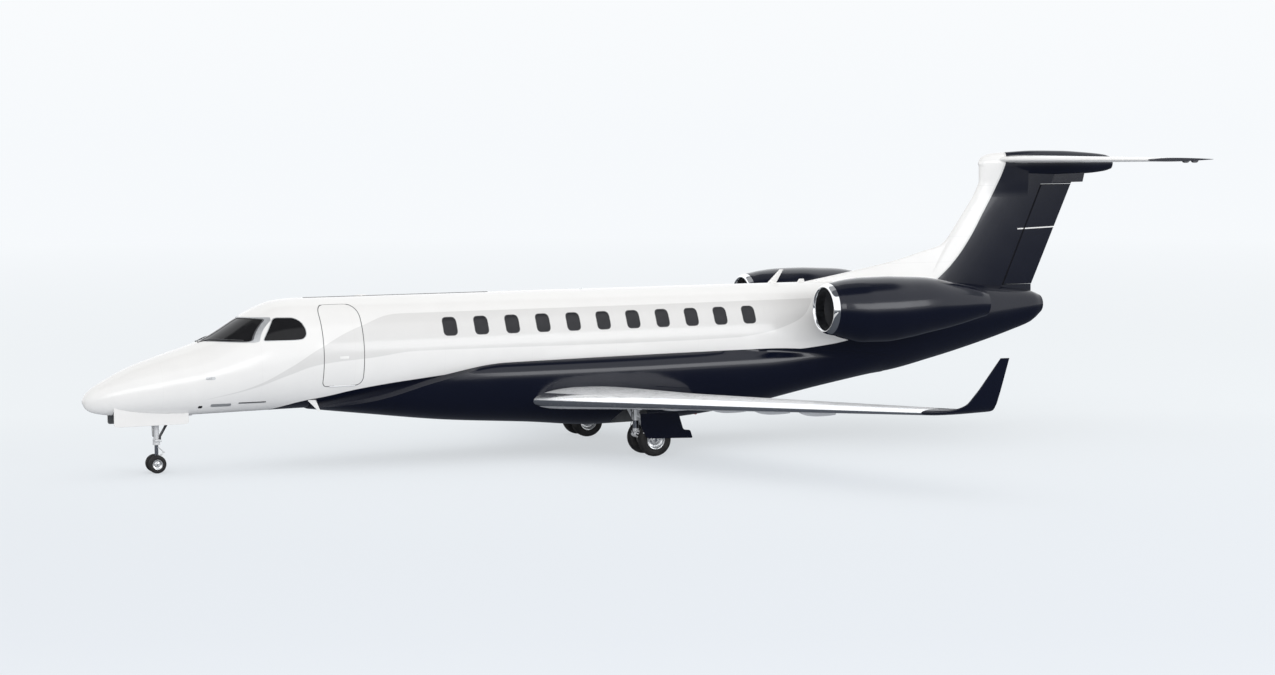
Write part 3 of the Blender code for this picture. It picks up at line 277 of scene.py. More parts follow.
def ramp(tree, value, low, high, to_low=0.0, to_high=1.0):
    """A value taken from one range to another, and held at its ends."""
    inputs = {"Value": value, "From Min": low, "From Max": high, "To Min": to_low, "To Max": to_high}
    return node(tree, "ShaderNodeMapRange", inputs).outputs["Result"]


def blend_colours(tree, factor, a, b):
    """From colour a to colour b as the factor goes from 0 to 1."""
    return node(tree, "ShaderNodeMix", {"Factor": factor, 6: a, 7: b}, data_type="RGBA").outputs[2]


def rest_point(tree):
    """The point, in metres, in the piece's own rest position."""
    return node(tree, "ShaderNodeTexCoord").outputs["Object"]


def place(tree):
    """X, Y and Z of the point."""
    return node(tree, "ShaderNodeSeparateXYZ", {"Vector": rest_point(tree)}).outputs


def noise(tree, scale, detail, where=None):
    """A cloudy value, mostly within CLOUD_RANGE."""
    inputs = {"Vector": rest_point(tree) if where is None else where, "Scale": scale, "Detail": detail}
    return node(tree, "ShaderNodeTexNoise", inputs).outputs["Fac"]


def cells(tree, scale):
    """The distance to the nearest of many scattered points."""
    inputs = {"Vector": rest_point(tree), "Scale": scale}
    return node(tree, "ShaderNodeTexVoronoi", inputs).outputs["Distance"]


def swing(tree, cloud, low, high):
    """A value that swings from low to high with a cloudy one."""
    return ramp(tree, cloud, *CLOUD_RANGE, low, high)


def relief(tree, height, strength, distance):
    """The direction of a surface that a height stands out from."""
    inputs = {"Strength": strength, "Distance": distance, "Height": height}
    return node(tree, "ShaderNodeBump", inputs).outputs["Normal"]


def toned(tree, colour, value):
    """A colour made brighter or darker by a value."""
    return node(tree, "ShaderNodeHueSaturation", {"Color": colour, "Value": value}).outputs["Color"]


def between(tree, value, low, high, blur):
    """1 between two values and 0 beyond them, blurred at both ends."""
    under = ramp(tree, sums(tree, "SUBTRACT", high, value), -blur, blur)
    over = ramp(tree, sums(tree, "SUBTRACT", value, low), -blur, blur)
    return sums(tree, "MULTIPLY", under, over)


def group(name, inputs, outputs):
    """An empty node group: its inputs as (name, type, value) and its outputs as (name, type)."""
    tree = bpy.data.node_groups.new(name, "ShaderNodeTree")
    for label, kind, value in inputs:
        socket = tree.interface.new_socket(label, in_out="INPUT", socket_type="NodeSocket" + kind)
        socket.default_value = (*value, 1.0) if kind == "Color" else value
    for label, kind in outputs:
        tree.interface.new_socket(label, in_out="OUTPUT", socket_type="NodeSocket" + kind)
    return tree, tree.nodes.new("NodeGroupInput").outputs, tree.nodes.new("NodeGroupOutput").inputs


def measured_edge(tree, x, points, x_range, z_range):
    """The height of a painted edge at X, through points measured on the aircraft."""
    part = ramp(tree, x, *x_range)
    made = node(tree, "ShaderNodeFloatCurve", {"Value": part})
    line = made.mapping.curves[0]
    scaled = [
        ((px - x_range[0]) / (x_range[1] - x_range[0]), (pz - z_range[0]) / (z_range[1] - z_range[0]))
        for px, pz in points
    ]
    line.points[0].location = scaled[0]
    line.points[1].location = scaled[-1]
    for point in scaled[1:-1]:
        line.points.new(*point)
    for point in line.points:
        point.handle_type = "AUTO_CLAMPED"
    made.mapping.update()
    return ramp(tree, made.outputs[0], 0.0, 1.0, *z_range)


# Painted edges, as X and height
BELLY_EDGE = [
    (-9.40, 1.18), (-9.06, 1.315), (-8.42, 1.495), (-8.18, 1.531), (-7.30, 1.707), (-5.94, 1.879),
    (-4.53, 2.003), (-3.07, 2.031), (-0.72, 2.022), (0.79, 2.029), (1.97, 2.072), (3.16, 2.143),
    (3.77, 2.188), (4.58, 2.289), (5.50, 2.55), (6.40, 2.95), (7.10, 3.30), (7.726, 3.631), (8.20, 4.05),
]
SWEEP_UPPER = [
    (-10.71, 1.600), (-9.785, 1.839), (-8.945, 2.246), (-8.28, 2.639), (-7.26, 3.097), (-6.32, 3.311),
    (-0.59, 3.308), (3.90, 3.314),
]
SWEEP_LOWER = [
    (-10.71, 1.598), (-9.785, 1.80), (-8.945, 2.09), (-8.29, 2.287), (-7.14, 2.393), (-5.98, 2.502),
    (-0.76, 2.475), (1.78, 2.499), (3.20, 2.78), (3.90, 3.314),
]
FIN_EDGE = [
    (3.20, 7.20), (3.631, 7.726), (4.009, 8.139), (4.534, 8.568), (5.223, 8.999), (5.809, 9.341),
    (6.449, 9.617), (6.74, 9.68),
]
LIVERY_HEIGHTS = (1.0, 4.2)
BELLY_X = (-9.40, 8.20)
SWEEP_X = (-10.71, 3.90)
FIN_STRIPE_X = (10.014, 11.162)
FIN_STRIPE_Z = (4.800, 4.830)


def build_livery():
    """Masks of the navy belly and of the pale sweep along the windows."""
    tree, _, out = group("livery", [], [("Navy", "Float"), ("Sweep", "Float")])
    x, _, z = place(tree)
    edge = measured_edge(tree, x, BELLY_EDGE, BELLY_X, LIVERY_HEIGHTS)
    below = ramp(tree, sums(tree, "SUBTRACT", edge, z), -0.004, 0.004)
    behind = ramp(tree, x, BELLY_X[0] + 0.01, BELLY_X[0] + 0.02)
    tree.links.new(sums(tree, "MULTIPLY", below, behind), out["Navy"])
    upper = measured_edge(tree, x, SWEEP_UPPER, SWEEP_X, LIVERY_HEIGHTS)
    lower = measured_edge(tree, x, SWEEP_LOWER, SWEEP_X, LIVERY_HEIGHTS)
    inside = between(tree, z, lower, upper, 0.006)
    front, rear = SWEEP_X
    ends = sums(tree, "MULTIPLY", ramp(tree, x, front, front + 0.01), ramp(tree, x, rear, rear - 0.10))
    tree.links.new(sums(tree, "MULTIPLY", inside, ends), out["Sweep"])
    return tree


def build_paint_finish():
    """Sprayed paint: a little uneven in tone and gloss, with the faint ripple of a thick lacquer."""
    inputs = [("Colour", "Color", (0.8, 0.8, 0.8)), ("Gloss", "Float", 0.15), ("Ripple", "Float", 0.05)]
    outputs = [("Colour", "Color"), ("Roughness", "Float"), ("Normal", "Vector")]
    tree, given, out = group("paint_finish", inputs, outputs)
    broad = noise(tree, 1.7, 4.0)
    tree.links.new(toned(tree, given["Colour"], swing(tree, broad, 0.985, 1.01)), out["Colour"])
    tree.links.new(sums(tree, "ADD", given["Gloss"], swing(tree, broad, -0.02, 0.03)), out["Roughness"])
    tree.links.new(relief(tree, noise(tree, 260.0, 2.0), given["Ripple"], 0.0006), out["Normal"])
    return tree


def build_seam():
    """A mask of thin lines, evenly spaced along a value, such as the joints between sheets of skin."""
    labels = {"Along": 0.0, "Spacing": 1.0, "Shift": 0.0, "Width": 0.004}
    inputs = [(label, "Float", value) for label, value in labels.items()]
    tree, given, out = group("seam", inputs, [("Mask", "Float")])
    turns = sums(tree, "DIVIDE", sums(tree, "ADD", given["Along"], given["Shift"]), given["Spacing"])
    off = sums(tree, "ABSOLUTE", sums(tree, "SUBTRACT", sums(tree, "FRACT", turns), 0.5))
    distance = sums(tree, "MULTIPLY", off, given["Spacing"])
    near = sums(tree, "DIVIDE", distance, given["Width"])
    tree.links.new(ramp(tree, near, 0.4, 0.6, 1.0, 0.0), out["Mask"])
    return tree


def build_metal_grain():
    """Fine scratches drawn out along one direction, as a change of gloss and a faint relief."""
    inputs = [("Stretch", "Vector", (1.0, 40.0, 40.0)), ("Gloss", "Float", 0.2), ("Relief", "Float", 0.05)]
    outputs = [("Roughness", "Float"), ("Normal", "Vector"), ("Tone", "Float")]
    tree, given, out = group("metal_grain", inputs, outputs)
    both = {0: rest_point(tree), 1: given["Stretch"]}
    pulled = node(tree, "ShaderNodeVectorMath", both, operation="MULTIPLY").outputs[0]
    lines = noise(tree, 6.0, 5.0, pulled)
    broad = swing(tree, noise(tree, 2.5, 3.0), -0.03, 0.03)
    uneven = sums(tree, "ADD", swing(tree, lines, -0.05, 0.05), broad)
    tree.links.new(sums(tree, "ADD", given["Gloss"], uneven), out["Roughness"])
    tree.links.new(relief(tree, lines, given["Relief"], 0.0005), out["Normal"])
    tree.links.new(swing(tree, lines, 0.93, 1.05), out["Tone"])
    return tree


LIVERY = build_livery()
PAINT_FINISH = build_paint_finish()
SEAM_LINES = build_seam()
METAL_GRAIN = build_metal_grain()

WHITE = (0.872, 0.865, 0.852)
SWEEP_GREY = (0.742, 0.735, 0.724)
NAVY = (0.0035, 0.0050, 0.0135)
SILVER = (0.68, 0.69, 0.705)
POLISHED = (0.90, 0.91, 0.92)
LEADING_LINE = (0.5728, -4.1406)
SPAR_PITCH = 0.62


def material(name):
    """A new material, its node tree and its shader."""
    made = bpy.data.materials.new(name)
    made.use_nodes = True
    return made, made.node_tree, made.node_tree.nodes["Principled BSDF"]


def put(tree, shader, **values):
    """Joins or sets a shader's inputs, named with underlines for spaces."""
    for label, value in values.items():
        feed(tree, shader.inputs[label.replace("_", " ")], value)


def grouped(tree, source, **values):
    """The outputs of a node group, fed with these values."""
    return node(tree, "ShaderNodeGroup", values, node_tree=source).outputs


def lacquered(tree, shader, colour):
    """Finishes a colour as lacquered paint."""
    paint = grouped(tree, PAINT_FINISH, Colour=colour, Gloss=0.16, Ripple=0.04)
    put(tree, shader, Base_Color=paint["Colour"], Roughness=paint["Roughness"], Normal=paint["Normal"],
        Specular_IOR_Level=0.3, Coat_Weight=0.2, Coat_Roughness=0.06)


def darkened(tree, colour, mask, amount):
    """A colour, darker by this share where the mask is 1."""
    return toned(tree, colour, sums(tree, "SUBTRACT", 1.0, sums(tree, "MULTIPLY", mask, amount)))


def lines_along(tree, value, spacing, shift, width):
    """A mask of thin lines across a value."""
    return grouped(tree, SEAM_LINES, Along=value, Spacing=spacing, Shift=shift, Width=width)["Mask"]


def make_fuselage_paint():
    """White above, a pale sweep along the windows, and navy below."""
    made, tree, shader = material("fuselage_paint")
    masks = grouped(tree, LIVERY)
    x, _, _ = place(tree)
    colour = blend_colours(tree, masks["Sweep"], WHITE, SWEEP_GREY)
    colour = blend_colours(tree, masks["Navy"], colour, NAVY)
    lacquered(tree, shader, darkened(tree, colour, lines_along(tree, x, 2.05, 0.31, 0.005), 0.05))
    return made


def make_fin_paint():
    """Navy, with a white band along the leading edge and a thin white stripe across the rear."""
    made, tree, shader = material("fin_paint")
    x, _, z = place(tree)
    edge = measured_edge(tree, z, FIN_EDGE, (3.20, 6.74), (7.0, 10.0))
    ahead = sums(tree, "SUBTRACT", edge, x)
    colour = blend_colours(tree, ramp(tree, ahead, -0.004, 0.004), NAVY, SWEEP_GREY)
    colour = blend_colours(tree, ramp(tree, ahead, 0.05, 0.06), colour, WHITE)
    line = ramp(tree, x, *FIN_STRIPE_X, *FIN_STRIPE_Z)
    near = ramp(tree, sums(tree, "ABSOLUTE", sums(tree, "SUBTRACT", z, line)), 0.013, 0.017, 1.0, 0.0)
    front, rear = FIN_STRIPE_X
    starts, stops = ramp(tree, x, front - 0.002, front + 0.002), ramp(tree, x, rear + 0.002, rear - 0.002)
    stripe = sums(tree, "MULTIPLY", near, sums(tree, "MULTIPLY", starts, stops))
    colour = blend_colours(tree, stripe, colour, WHITE)
    lacquered(tree, shader, darkened(tree, colour, lines_along(tree, z, 0.62, 0.0, 0.004), 0.2))
    return made


def make_navy_paint():
    """Navy all over, with faint seams."""
    made, tree, shader = material("navy_paint")
    x, _, _ = place(tree)
    seams = lines_along(tree, x, 1.14, 0.26, 0.005)
    faint = sums(tree, "MULTIPLY", seams, 0.5)
    lacquered(tree, shader, blend_colours(tree, faint, NAVY, (0.002, 0.002, 0.006)))
    return made


def make_white_paint():
    made, tree, shader = material("white_paint")
    lacquered(tree, shader, WHITE)
    return made


def make_wing_paint():
    """Pale silver paint, with a polished bare leading edge, and seams and rivets along the ribs and spars."""
    made, tree, shader = material("wing_paint")
    x, y, _ = place(tree)
    out = sums(tree, "ABSOLUTE", y)
    behind = sums(tree, "SUBTRACT", x, sums(tree, "MULTIPLY_ADD", out, *LEADING_LINE))
    bare = ramp(tree, behind, 0.20, 0.206, 1.0, 0.0)
    ribs = lines_along(tree, out, 1.21, 0.2, 0.005)
    spars = lines_along(tree, behind, SPAR_PITCH, 0.10, 0.004)
    beside_spars = lines_along(tree, behind, SPAR_PITCH, 0.125, 0.007)
    rivets = sums(tree, "MULTIPLY", lines_along(tree, out, 0.045, 0.0, 0.007), beside_spars)
    marks = sums(tree, "MAXIMUM", sums(tree, "MAXIMUM", ribs, spars), sums(tree, "MULTIPLY", rivets, 0.5))
    colour = darkened(tree, blend_colours(tree, bare, SILVER, POLISHED), marks, 0.25)
    grain = grouped(tree, METAL_GRAIN, Stretch=(3.0, 30.0, 30.0), Gloss=0.18, Relief=0.006)
    put(tree, shader, Base_Color=colour, Metallic=ramp(tree, bare, 0.0, 1.0, 0.12, 1.0),
        Roughness=sums(tree, "MULTIPLY", grain["Roughness"], ramp(tree, bare, 0.0, 1.0, 1.6, 1.2)),
        Normal=grain["Normal"], Specular_IOR_Level=0.25)
    return made


def make_stabilizer_paint():
    """White, with navy tips and fine seams along the ribs."""
    made, tree, shader = material("stabilizer_paint")
    _, y, _ = place(tree)
    out = sums(tree, "ABSOLUTE", y)
    colour = blend_colours(tree, ramp(tree, out, 3.66, 3.664), WHITE, NAVY)
    lacquered(tree, shader, darkened(tree, colour, lines_along(tree, out, 0.74, 0.1, 0.004), 0.12))
    return made


def drawn(tree, shader, colour, gloss, stretch, depth, metallic=1.0):
    """Finishes a colour as metal with a drawn grain."""
    grain = grouped(tree, METAL_GRAIN, Stretch=stretch, Gloss=gloss, Relief=depth)
    put(tree, shader, Base_Color=toned(tree, colour, grain["Tone"]), Metallic=metallic,
        Roughness=grain["Roughness"], Normal=grain["Normal"])


def make_metal(name, colour, gloss, stretch=(30.0, 30.0, 2.0), depth=0.04, metallic=1.0):
    made, tree, shader = material(name)
    drawn(tree, shader, colour, gloss, stretch, depth, metallic)
    return made


def make_exhaust_metal():
    """Nickel alloy, browned and blued by heat towards its rear end."""
    made, tree, shader = material("exhaust_metal")
    x, _, _ = place(tree)
    colour = blend_colours(tree, ramp(tree, x, 7.2, 7.8), (0.30, 0.28, 0.26), (0.16, 0.13, 0.15))
    drawn(tree, shader, colour, 0.3, (2.0, 30.0, 30.0), 0.05)
    return made


def make_inlet_liner():
    """A dark liner with rows of small drilled holes that quieten the fan."""
    made, tree, shader = material("inlet_liner")
    holes = ramp(tree, cells(tree, 90.0), 0.16, 0.24, 1.0, 0.0)
    colour = blend_colours(tree, holes, (0.085, 0.088, 0.095), (0.012, 0.012, 0.014))
    sunk = relief(tree, ramp(tree, holes, 0.0, 1.0, 1.0, 0.0), 0.4, 0.002)
    put(tree, shader, Base_Color=colour, Roughness=0.45, Metallic=0.4, Normal=sunk)
    return made


def make_tyre_rubber():
    """Black rubber, dusty in places, with a fine grain."""
    made, tree, shader = material("tyre_rubber")
    dust = noise(tree, 9.0, 4.0)
    colour = blend_colours(tree, ramp(tree, dust, 0.45, 0.8), (0.012, 0.012, 0.013), (0.032, 0.031, 0.030))
    put(tree, shader, Base_Color=colour, Roughness=swing(tree, dust, 0.55, 0.75),
        Normal=relief(tree, noise(tree, 140.0, 4.0), 0.25, 0.001), Specular_IOR_Level=0.35)
    return made


def make_glass(name, tint_and_shade):
    """Thick tinted glass, nearly black from outside: partly its tint, partly painted shade for the dim room
    behind the opaque pane. A faint film of dust lies on it.
    """
    made, tree, shader = material(name)
    film = noise(tree, 5.0, 3.0)
    colour = blend_colours(tree, swing(tree, film, 0.0, 1.0), tint_and_shade, tuple(1.25 * c for c in tint_and_shade))
    put(tree, shader, Base_Color=colour, Roughness=swing(tree, film, 0.03, 0.06), Specular_IOR_Level=0.2)
    return made


def make_grained(name, grain, dark, pale, rough, depth=None, **others):
    """Two close tones, spread by a fine grain that may also stand out in relief."""
    made, tree, shader = material(name)
    pattern = grain(tree)
    if depth:
        others["Normal"] = relief(tree, pattern, *depth)
    put(tree, shader, Base_Color=blend_colours(tree, pattern, dark, pale), Roughness=rough, **others)
    return made


def make_lens(name, colour, glow):
    """A coloured lamp cover, ribbed inside."""
    made, tree, shader = material(name)
    _, _, z = place(tree)
    ribs = sums(tree, "SINE", sums(tree, "MULTIPLY", z, 900.0))
    put(tree, shader, Base_Color=colour, Roughness=0.08, Normal=relief(tree, ribs, 0.3, 0.001),
        Emission_Color=colour, Emission_Strength=glow, Coat_Weight=0.6)
    return made


FUSELAGE_PAINT = make_fuselage_paint()
FIN_PAINT = make_fin_paint()
NAVY_PAINT = make_navy_paint()
WHITE_PAINT = make_white_paint()
WING_PAINT = make_wing_paint()
STABILIZER_PAINT = make_stabilizer_paint()
LIP_CHROME = make_metal("lip_chrome", (0.86, 0.87, 0.88), 0.05, (2.0, 20.0, 20.0), 0.01)
BLADE_METAL = make_metal("blade_metal", (0.36, 0.37, 0.40), 0.26, (20.0, 20.0, 3.0))
SPINNER_METAL = make_metal("spinner_metal", (0.16, 0.165, 0.18), 0.30, (20.0, 20.0, 3.0))
EXHAUST_METAL = make_exhaust_metal()
FRAME_METAL = make_metal("frame_metal", (0.58, 0.59, 0.60), 0.38, (4.0, 1.5, 4.0), 0.005, 0.6)
STRUT_CHROME = make_metal("strut_chrome", (0.80, 0.81, 0.83), 0.10, (30.0, 30.0, 2.0), 0.01)
GEAR_PAINT = make_metal("gear_paint", (0.78, 0.79, 0.80), 0.32, (3.0, 3.0, 3.0), 0.004, 0.2)
HUB_METAL = make_metal("hub_metal", (0.72, 0.73, 0.74), 0.24, (8.0, 30.0, 8.0), 0.03, 0.7)
DARK_STEEL = make_metal("dark_steel", (0.07, 0.07, 0.075), 0.40, (30.0, 30.0, 30.0), 0.06, 0.8)
INLET_LINER = make_inlet_liner()
TYRE_RUBBER = make_tyre_rubber()
# Opaque panes: their near-black is partly tint and partly painted shade for the room behind.
WINDOW_GLASS = make_glass("window_glass", (0.028, 0.028, 0.031))
COCKPIT_GLASS = make_glass("cockpit_glass", (0.011, 0.011, 0.012))
SEAL_RUBBER = make_grained(
    "seal_rubber", functools.partial(noise, scale=300.0, detail=2.0),
    (0.075, 0.077, 0.082), (0.10, 0.10, 0.105), 0.55, (0.2, 0.0005),
)
# Painted shade: a near-black matt for the faces in gaps and coves, where shade falls.
GAP_SHADE = make_grained(
    "gap_shade", functools.partial(noise, scale=90.0, detail=3.0),
    (0.004, 0.004, 0.006), (0.010, 0.010, 0.013), 0.8, Specular_IOR_Level=0.1,
)
# Dark grey for the wheel wells, and painted shade on the inner faces of the nose gear doors.
DARK_WELL_AND_DOOR_SHADE = make_metal("dark_well_and_door_shade", (0.09, 0.095, 0.10), 0.5, (3.0, 3.0, 3.0), 0.006, 0.0)
RED_LENS = make_lens("red_lens", (0.5, 0.02, 0.015), 0.15)
GREEN_LENS = make_lens("green_lens", (0.015, 0.35, 0.08), 0.15)
CLEAR_LENS = make_lens("clear_lens", (0.75, 0.78, 0.80), 0.10)
CARPET = make_grained(
    "cabin_carpet", functools.partial(cells, scale=160.0),
    (0.10, 0.09, 0.08), (0.20, 0.18, 0.16), 0.9, (0.6, 0.004),
)
TRIM = make_grained(
    "cabin_trim", functools.partial(noise, scale=60.0, detail=5.0),
    (0.42, 0.38, 0.32), (0.50, 0.46, 0.40), 0.5, (0.15, 0.001),
)

# Sizes of the hinged surfaces, the wings and the belly fairing
TRAILING_EDGE = 0.0022
FLAP_HINGE = 0.755
FLAP_SET_BACK = 0.02
FLAP_RAISED = 0.03
FLAP_FRONT = 0.012
FLAP_SLOT = 0.02
FLAP_CHAMFER = 0.45
FLAP_LEAN = 0.12
AILERON_HINGE = 0.77
PANEL_GAP = 0.015
NOSE_GAP = 0.010
NOSE_LEAN = math.radians(28)
REACH = 0.5
LENGTHEN = 2.2
POD_Y = (2.6, 4.3, 5.5, 6.7)
POD = [(0.0, 0.012), (0.2, 0.07), (0.5, 0.095), (0.8, 0.09), (1.0, 0.075)]
POD_LENGTH = 0.85
POD_WIDTH = 0.6
WING_STATIONS = (0.9, 1.3, 1.62, 2.3, 2.95, 3.6, 4.5, 5.4, 6.3, 7.1, 8.0, 9.0, 9.9)
BLADE_SHARP = 30
WING_PAD_Y = 3.0
AILERON_WICKS = (8.2, 8.7, 9.2)
ELEVATOR_WICKS = (1.6, 2.2, 2.8)
TIP_LAMP = [(-0.10, 0.0), (-0.07, 0.022), (0.0, 0.034), (0.07, 0.022), (0.10, 0.0)]
GEAR_SLOT = (-1.36, -1.04, 1.20, 2.12, 1.16)
FAIRING_WAIST = 1.80
FAIRING_RISE = 0.62
FAIRING_POWER = 2.5
FAIRING_SKIN = 0.008
FAIRING_POINTS = 61
FAIRING_FADE = 3.6
FAIRING_SPANS = (("front", -8.30, -3.60), ("center", -3.60, CABIN_REAR), ("rear", CABIN_REAR, TAIL_FRONT))
WELL_Y = 0.86
WELL_Z = (0.30, 1.02)
WELL_RADIUS = 0.42


# Building and joining meshes
def placed(name, data):
    """A new object in the scene."""
    obj = bpy.data.objects.new(name, data)
    bpy.context.scene.collection.objects.link(obj)
    return obj


def evaluated(obj):
    """A mesh of the object, as its modifiers or its curve shape it."""
    graph = bpy.context.evaluated_depsgraph_get()
    return bpy.data.meshes.new_from_object(obj.evaluated_get(graph))


def finish(name, bm, paint=None, angle=SHARP):
    """The mesh as an object, with clean faces and edges that are sharp beyond an angle in degrees."""
    bmesh.ops.remove_doubles(bm, verts=bm.verts, dist=1e-6)
    bmesh.ops.recalc_face_normals(bm, faces=bm.faces)
    mesh = bpy.data.meshes.new(name)
    bm.to_mesh(mesh)
    bm.free()
    mesh.shade_smooth()
    mesh.set_sharp_from_angle(angle=math.radians(angle))
    if paint:
        mesh.materials.append(paint)
    return placed(name, mesh)


def solve(target, operation, *others):
    """The target cut by or kept within other solids, which are used up."""
    for other in others:
        modifier = target.modifiers.new(operation, "BOOLEAN")
        modifier.operation = operation
        modifier.solver = "EXACT"
        modifier.material_mode = "TRANSFER"
        modifier.object = other
    mesh = evaluated(target)
    target.modifiers.clear()
    target.data = mesh
    mesh.set_sharp_from_angle(angle=math.radians(SHARP))
    for other in others:
        bpy.data.objects.remove(other)
    return target


def cut(target, *others):
    return solve(target, "DIFFERENCE", *others)


def keep(target, *others):
    return solve(target, "INTERSECT", *others)


def bridge(bm, a, b):
    """Faces between two like rings."""
    for k in range(len(a)):
        bm.faces.new((a[k], a[k - 1], b[k - 1], b[k]))


def skin(bm, rings):
    """Faces from ring to ring."""
    rows = [[bm.verts.new(p) for p in ring] for ring in rings]
    for a, b in zip(rows, rows[1:]):
        bridge(bm, a, b)
    return rows


def loft(name, rings, paint=None, angle=SHARP):
    """A solid through like rings of points, closed by a flat face at each end."""
    bm = bmesh.new()
    rows = skin(bm, rings)
    bm.faces.new(rows[0])
    bm.faces.new(rows[-1])
    return finish(name, bm, paint, angle)


def tube(name, outer, inner, paint=None):
    """A wall between an outer and an inner loft, open at both ends."""
    bm = bmesh.new()
    out, within = skin(bm, outer), skin(bm, inner)
    for end in (0, -1):
        bridge(bm, out[end], within[end])
    return finish(name, bm, paint)


def block(name, low, high, paint=None, bevel=0.0):
    """A box with softened edges."""
    bm = bmesh.new()
    size = [b - a for a, b in zip(low, high)]
    centre = [(a + b) / 2 for a, b in zip(low, high)]
    bmesh.ops.create_cube(bm, size=1.0, matrix=Matrix.Translation(centre) @ Matrix.Diagonal((*size, 1.0)))
    if bevel:
        bmesh.ops.bevel(bm, geom=bm.edges[:], offset=bevel, segments=2, affect="EDGES", profile=0.5)
    return finish(name, bm, paint, 30)


def rod(name, start, end, radius, paint=None, sides=28, bevel=0.004, tip=None):
    """A round bar with softened ends, which may narrow to a tip radius."""
    start, end = Vector(start), Vector(end)
    along = end - start
    turn = Vector((0, 0, 1)).rotation_difference(along).to_matrix().to_4x4()
    tip = radius if tip is None else tip
    bevel = min(bevel, tip * 0.4, along.length * 0.2)
    length = along.length
    profile = [(0.0, radius - bevel), (bevel, radius), (length - bevel, tip), (length, tip - bevel)]
    rings = [[(r * math.cos(a), r * math.sin(a), d) for a in around(sides)] for d, r in profile]
    obj = loft(name, rings, paint)
    obj.data.transform(Matrix.Translation(start) @ turn)
    return obj


def turned(name, profile, centre, axis, paint=None, sides=64, closed=False, angle=SHARP):
    """A solid turned from (distance, radius) points, which end on the axis or form a closed loop."""
    bm = bmesh.new()
    rings = []
    for a in around(sides):
        rings.append([bm.verts.new((r * math.cos(a), r * math.sin(a), d)) for d, r in profile])
    last = len(profile) if closed else len(profile) - 1
    for k in range(sides):
        one, two = rings[k - 1], rings[k]
        for i in range(last):
            j = (i + 1) % len(profile)
            bm.faces.new((one[i], one[j], two[j], two[i]))
    turn = Vector((0, 0, 1)).rotation_difference(Vector(axis)).to_matrix().to_4x4()
    bmesh.ops.transform(bm, matrix=Matrix.Translation(centre) @ turn, verts=bm.verts)
    bmesh.ops.remove_doubles(bm, verts=bm.verts, dist=1e-6)
    bmesh.ops.dissolve_degenerate(bm, edges=bm.edges, dist=1e-7)
    return finish(name, bm, paint, angle)


def pipe(name, points, radius, paint):
    """A bent pipe along a smooth line through the points."""
    made = bpy.data.curves.new(name, "CURVE")
    made.dimensions = "3D"
    made.bevel_depth = radius
    made.bevel_resolution = 2
    made.use_fill_caps = True
    line = made.splines.new("BEZIER")
    line.bezier_points.add(len(points) - 1)
    for target, point in zip(line.bezier_points, points):
        target.co = point
        target.handle_left_type = target.handle_right_type = "AUTO"
    made.resolution_u = 6
    line_object = placed(name, made)
    bm = bmesh.new()
    bm.from_mesh(evaluated(line_object))
    bpy.data.objects.remove(line_object)
    return finish(name, bm, paint)


def gather(name, *pieces):
    """Several pieces as one mesh, each with its own paint."""
    bm = bmesh.new()
    paints = []
    for piece in pieces:
        count = len(bm.faces)
        bm.from_mesh(piece.data)
        bm.faces.ensure_lookup_table()
        own = list(piece.data.materials)
        for paint in own:
            if paint not in paints:
                paints.append(paint)
        for face in bm.faces[count:]:
            face.material_index = paints.index(own[face.material_index])
        bpy.data.objects.remove(piece)
    mesh = bpy.data.meshes.new(name)
    bm.to_mesh(mesh)
    bm.free()
    for paint in paints:
        mesh.materials.append(paint)
    return placed(name, mesh)


def repainted(obj, paint, chosen):
    """Gives another paint to the faces whose centre and direction are chosen."""
    obj.data.materials.append(paint)
    index = len(obj.data.materials) - 1
    for face in obj.data.polygons:
        if chosen(face.center, face.normal):
            face.material_index = index
    return obj


def show(piece, body, slot, *nodes):
    """Lets a piece move with a body, and stand for CAD nodes."""
    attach(piece, body)
    if nodes:
        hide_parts(*nodes)
    return piece


# Outlines on a flat sheet, before they are laid on the skin
def softened(points, reach, steps=7):
    """The outline with its corners rounded, each over its own reach along the sides."""
    out = []
    for i, corner in enumerate(points):
        here = Vector(corner)
        ends = []
        for other in (points[i - 1], points[(i + 1) % len(points)]):
            side = Vector(other) - here
            ends.append(here + side * min(reach[i] / side.length, 0.47))
        for k in range(steps + 1):
            t = k / steps
            out.append(tuple(ends[0] * (1 - t) ** 2 + here * 2 * t * (1 - t) + ends[1] * t * t))
    return out


def rounded(x_span, z_span, upper, lower):
    """A rectangle with round corners."""
    (left, right), (low, high) = x_span, z_span
    corners = [(left, low), (right, low), (right, high), (left, high)]
    return softened(corners, [lower, lower, upper, upper])


def grown(points, by):
    """The outline moved out by this much all round."""
    area = sum(a[0] * b[1] - b[0] * a[1] for a, b in zip(points, points[1:] + points[:1]))
    turn = 1 if area > 0 else -1
    out = []
    for i, point in enumerate(points):
        before, after = Vector(points[i - 1]), Vector(points[(i + 1) % len(points)])
        here = Vector(point)
        one, two = (here - before).normalized(), (after - here).normalized()
        normal = Vector((one.y + two.y, -one.x - two.x)).normalized()
        share = max(0.5, normal.dot(Vector((one.y, -one.x))))
        out.append(tuple(here + normal * (turn * by / share)))
    return out


# Fuselage skin
def fuselage_ring(x, grow=0.0):
    """The fuselage's section at X, or one that is a little larger or smaller."""
    middle = waist(x)
    points = []
    for a in around(ROUND):
        up = crown(x) - middle if math.sin(a) >= 0 else middle - keel(x)
        points.append((x, (breadth(x) + grow) * math.cos(a), middle + (up + grow) * math.sin(a)))
    return points


def fuselage_rings(start, end, grow=0.0):
    return [fuselage_ring(x, grow) for x in spread(start + SEAM / 2, end - SEAM / 2, RING_STEP)]


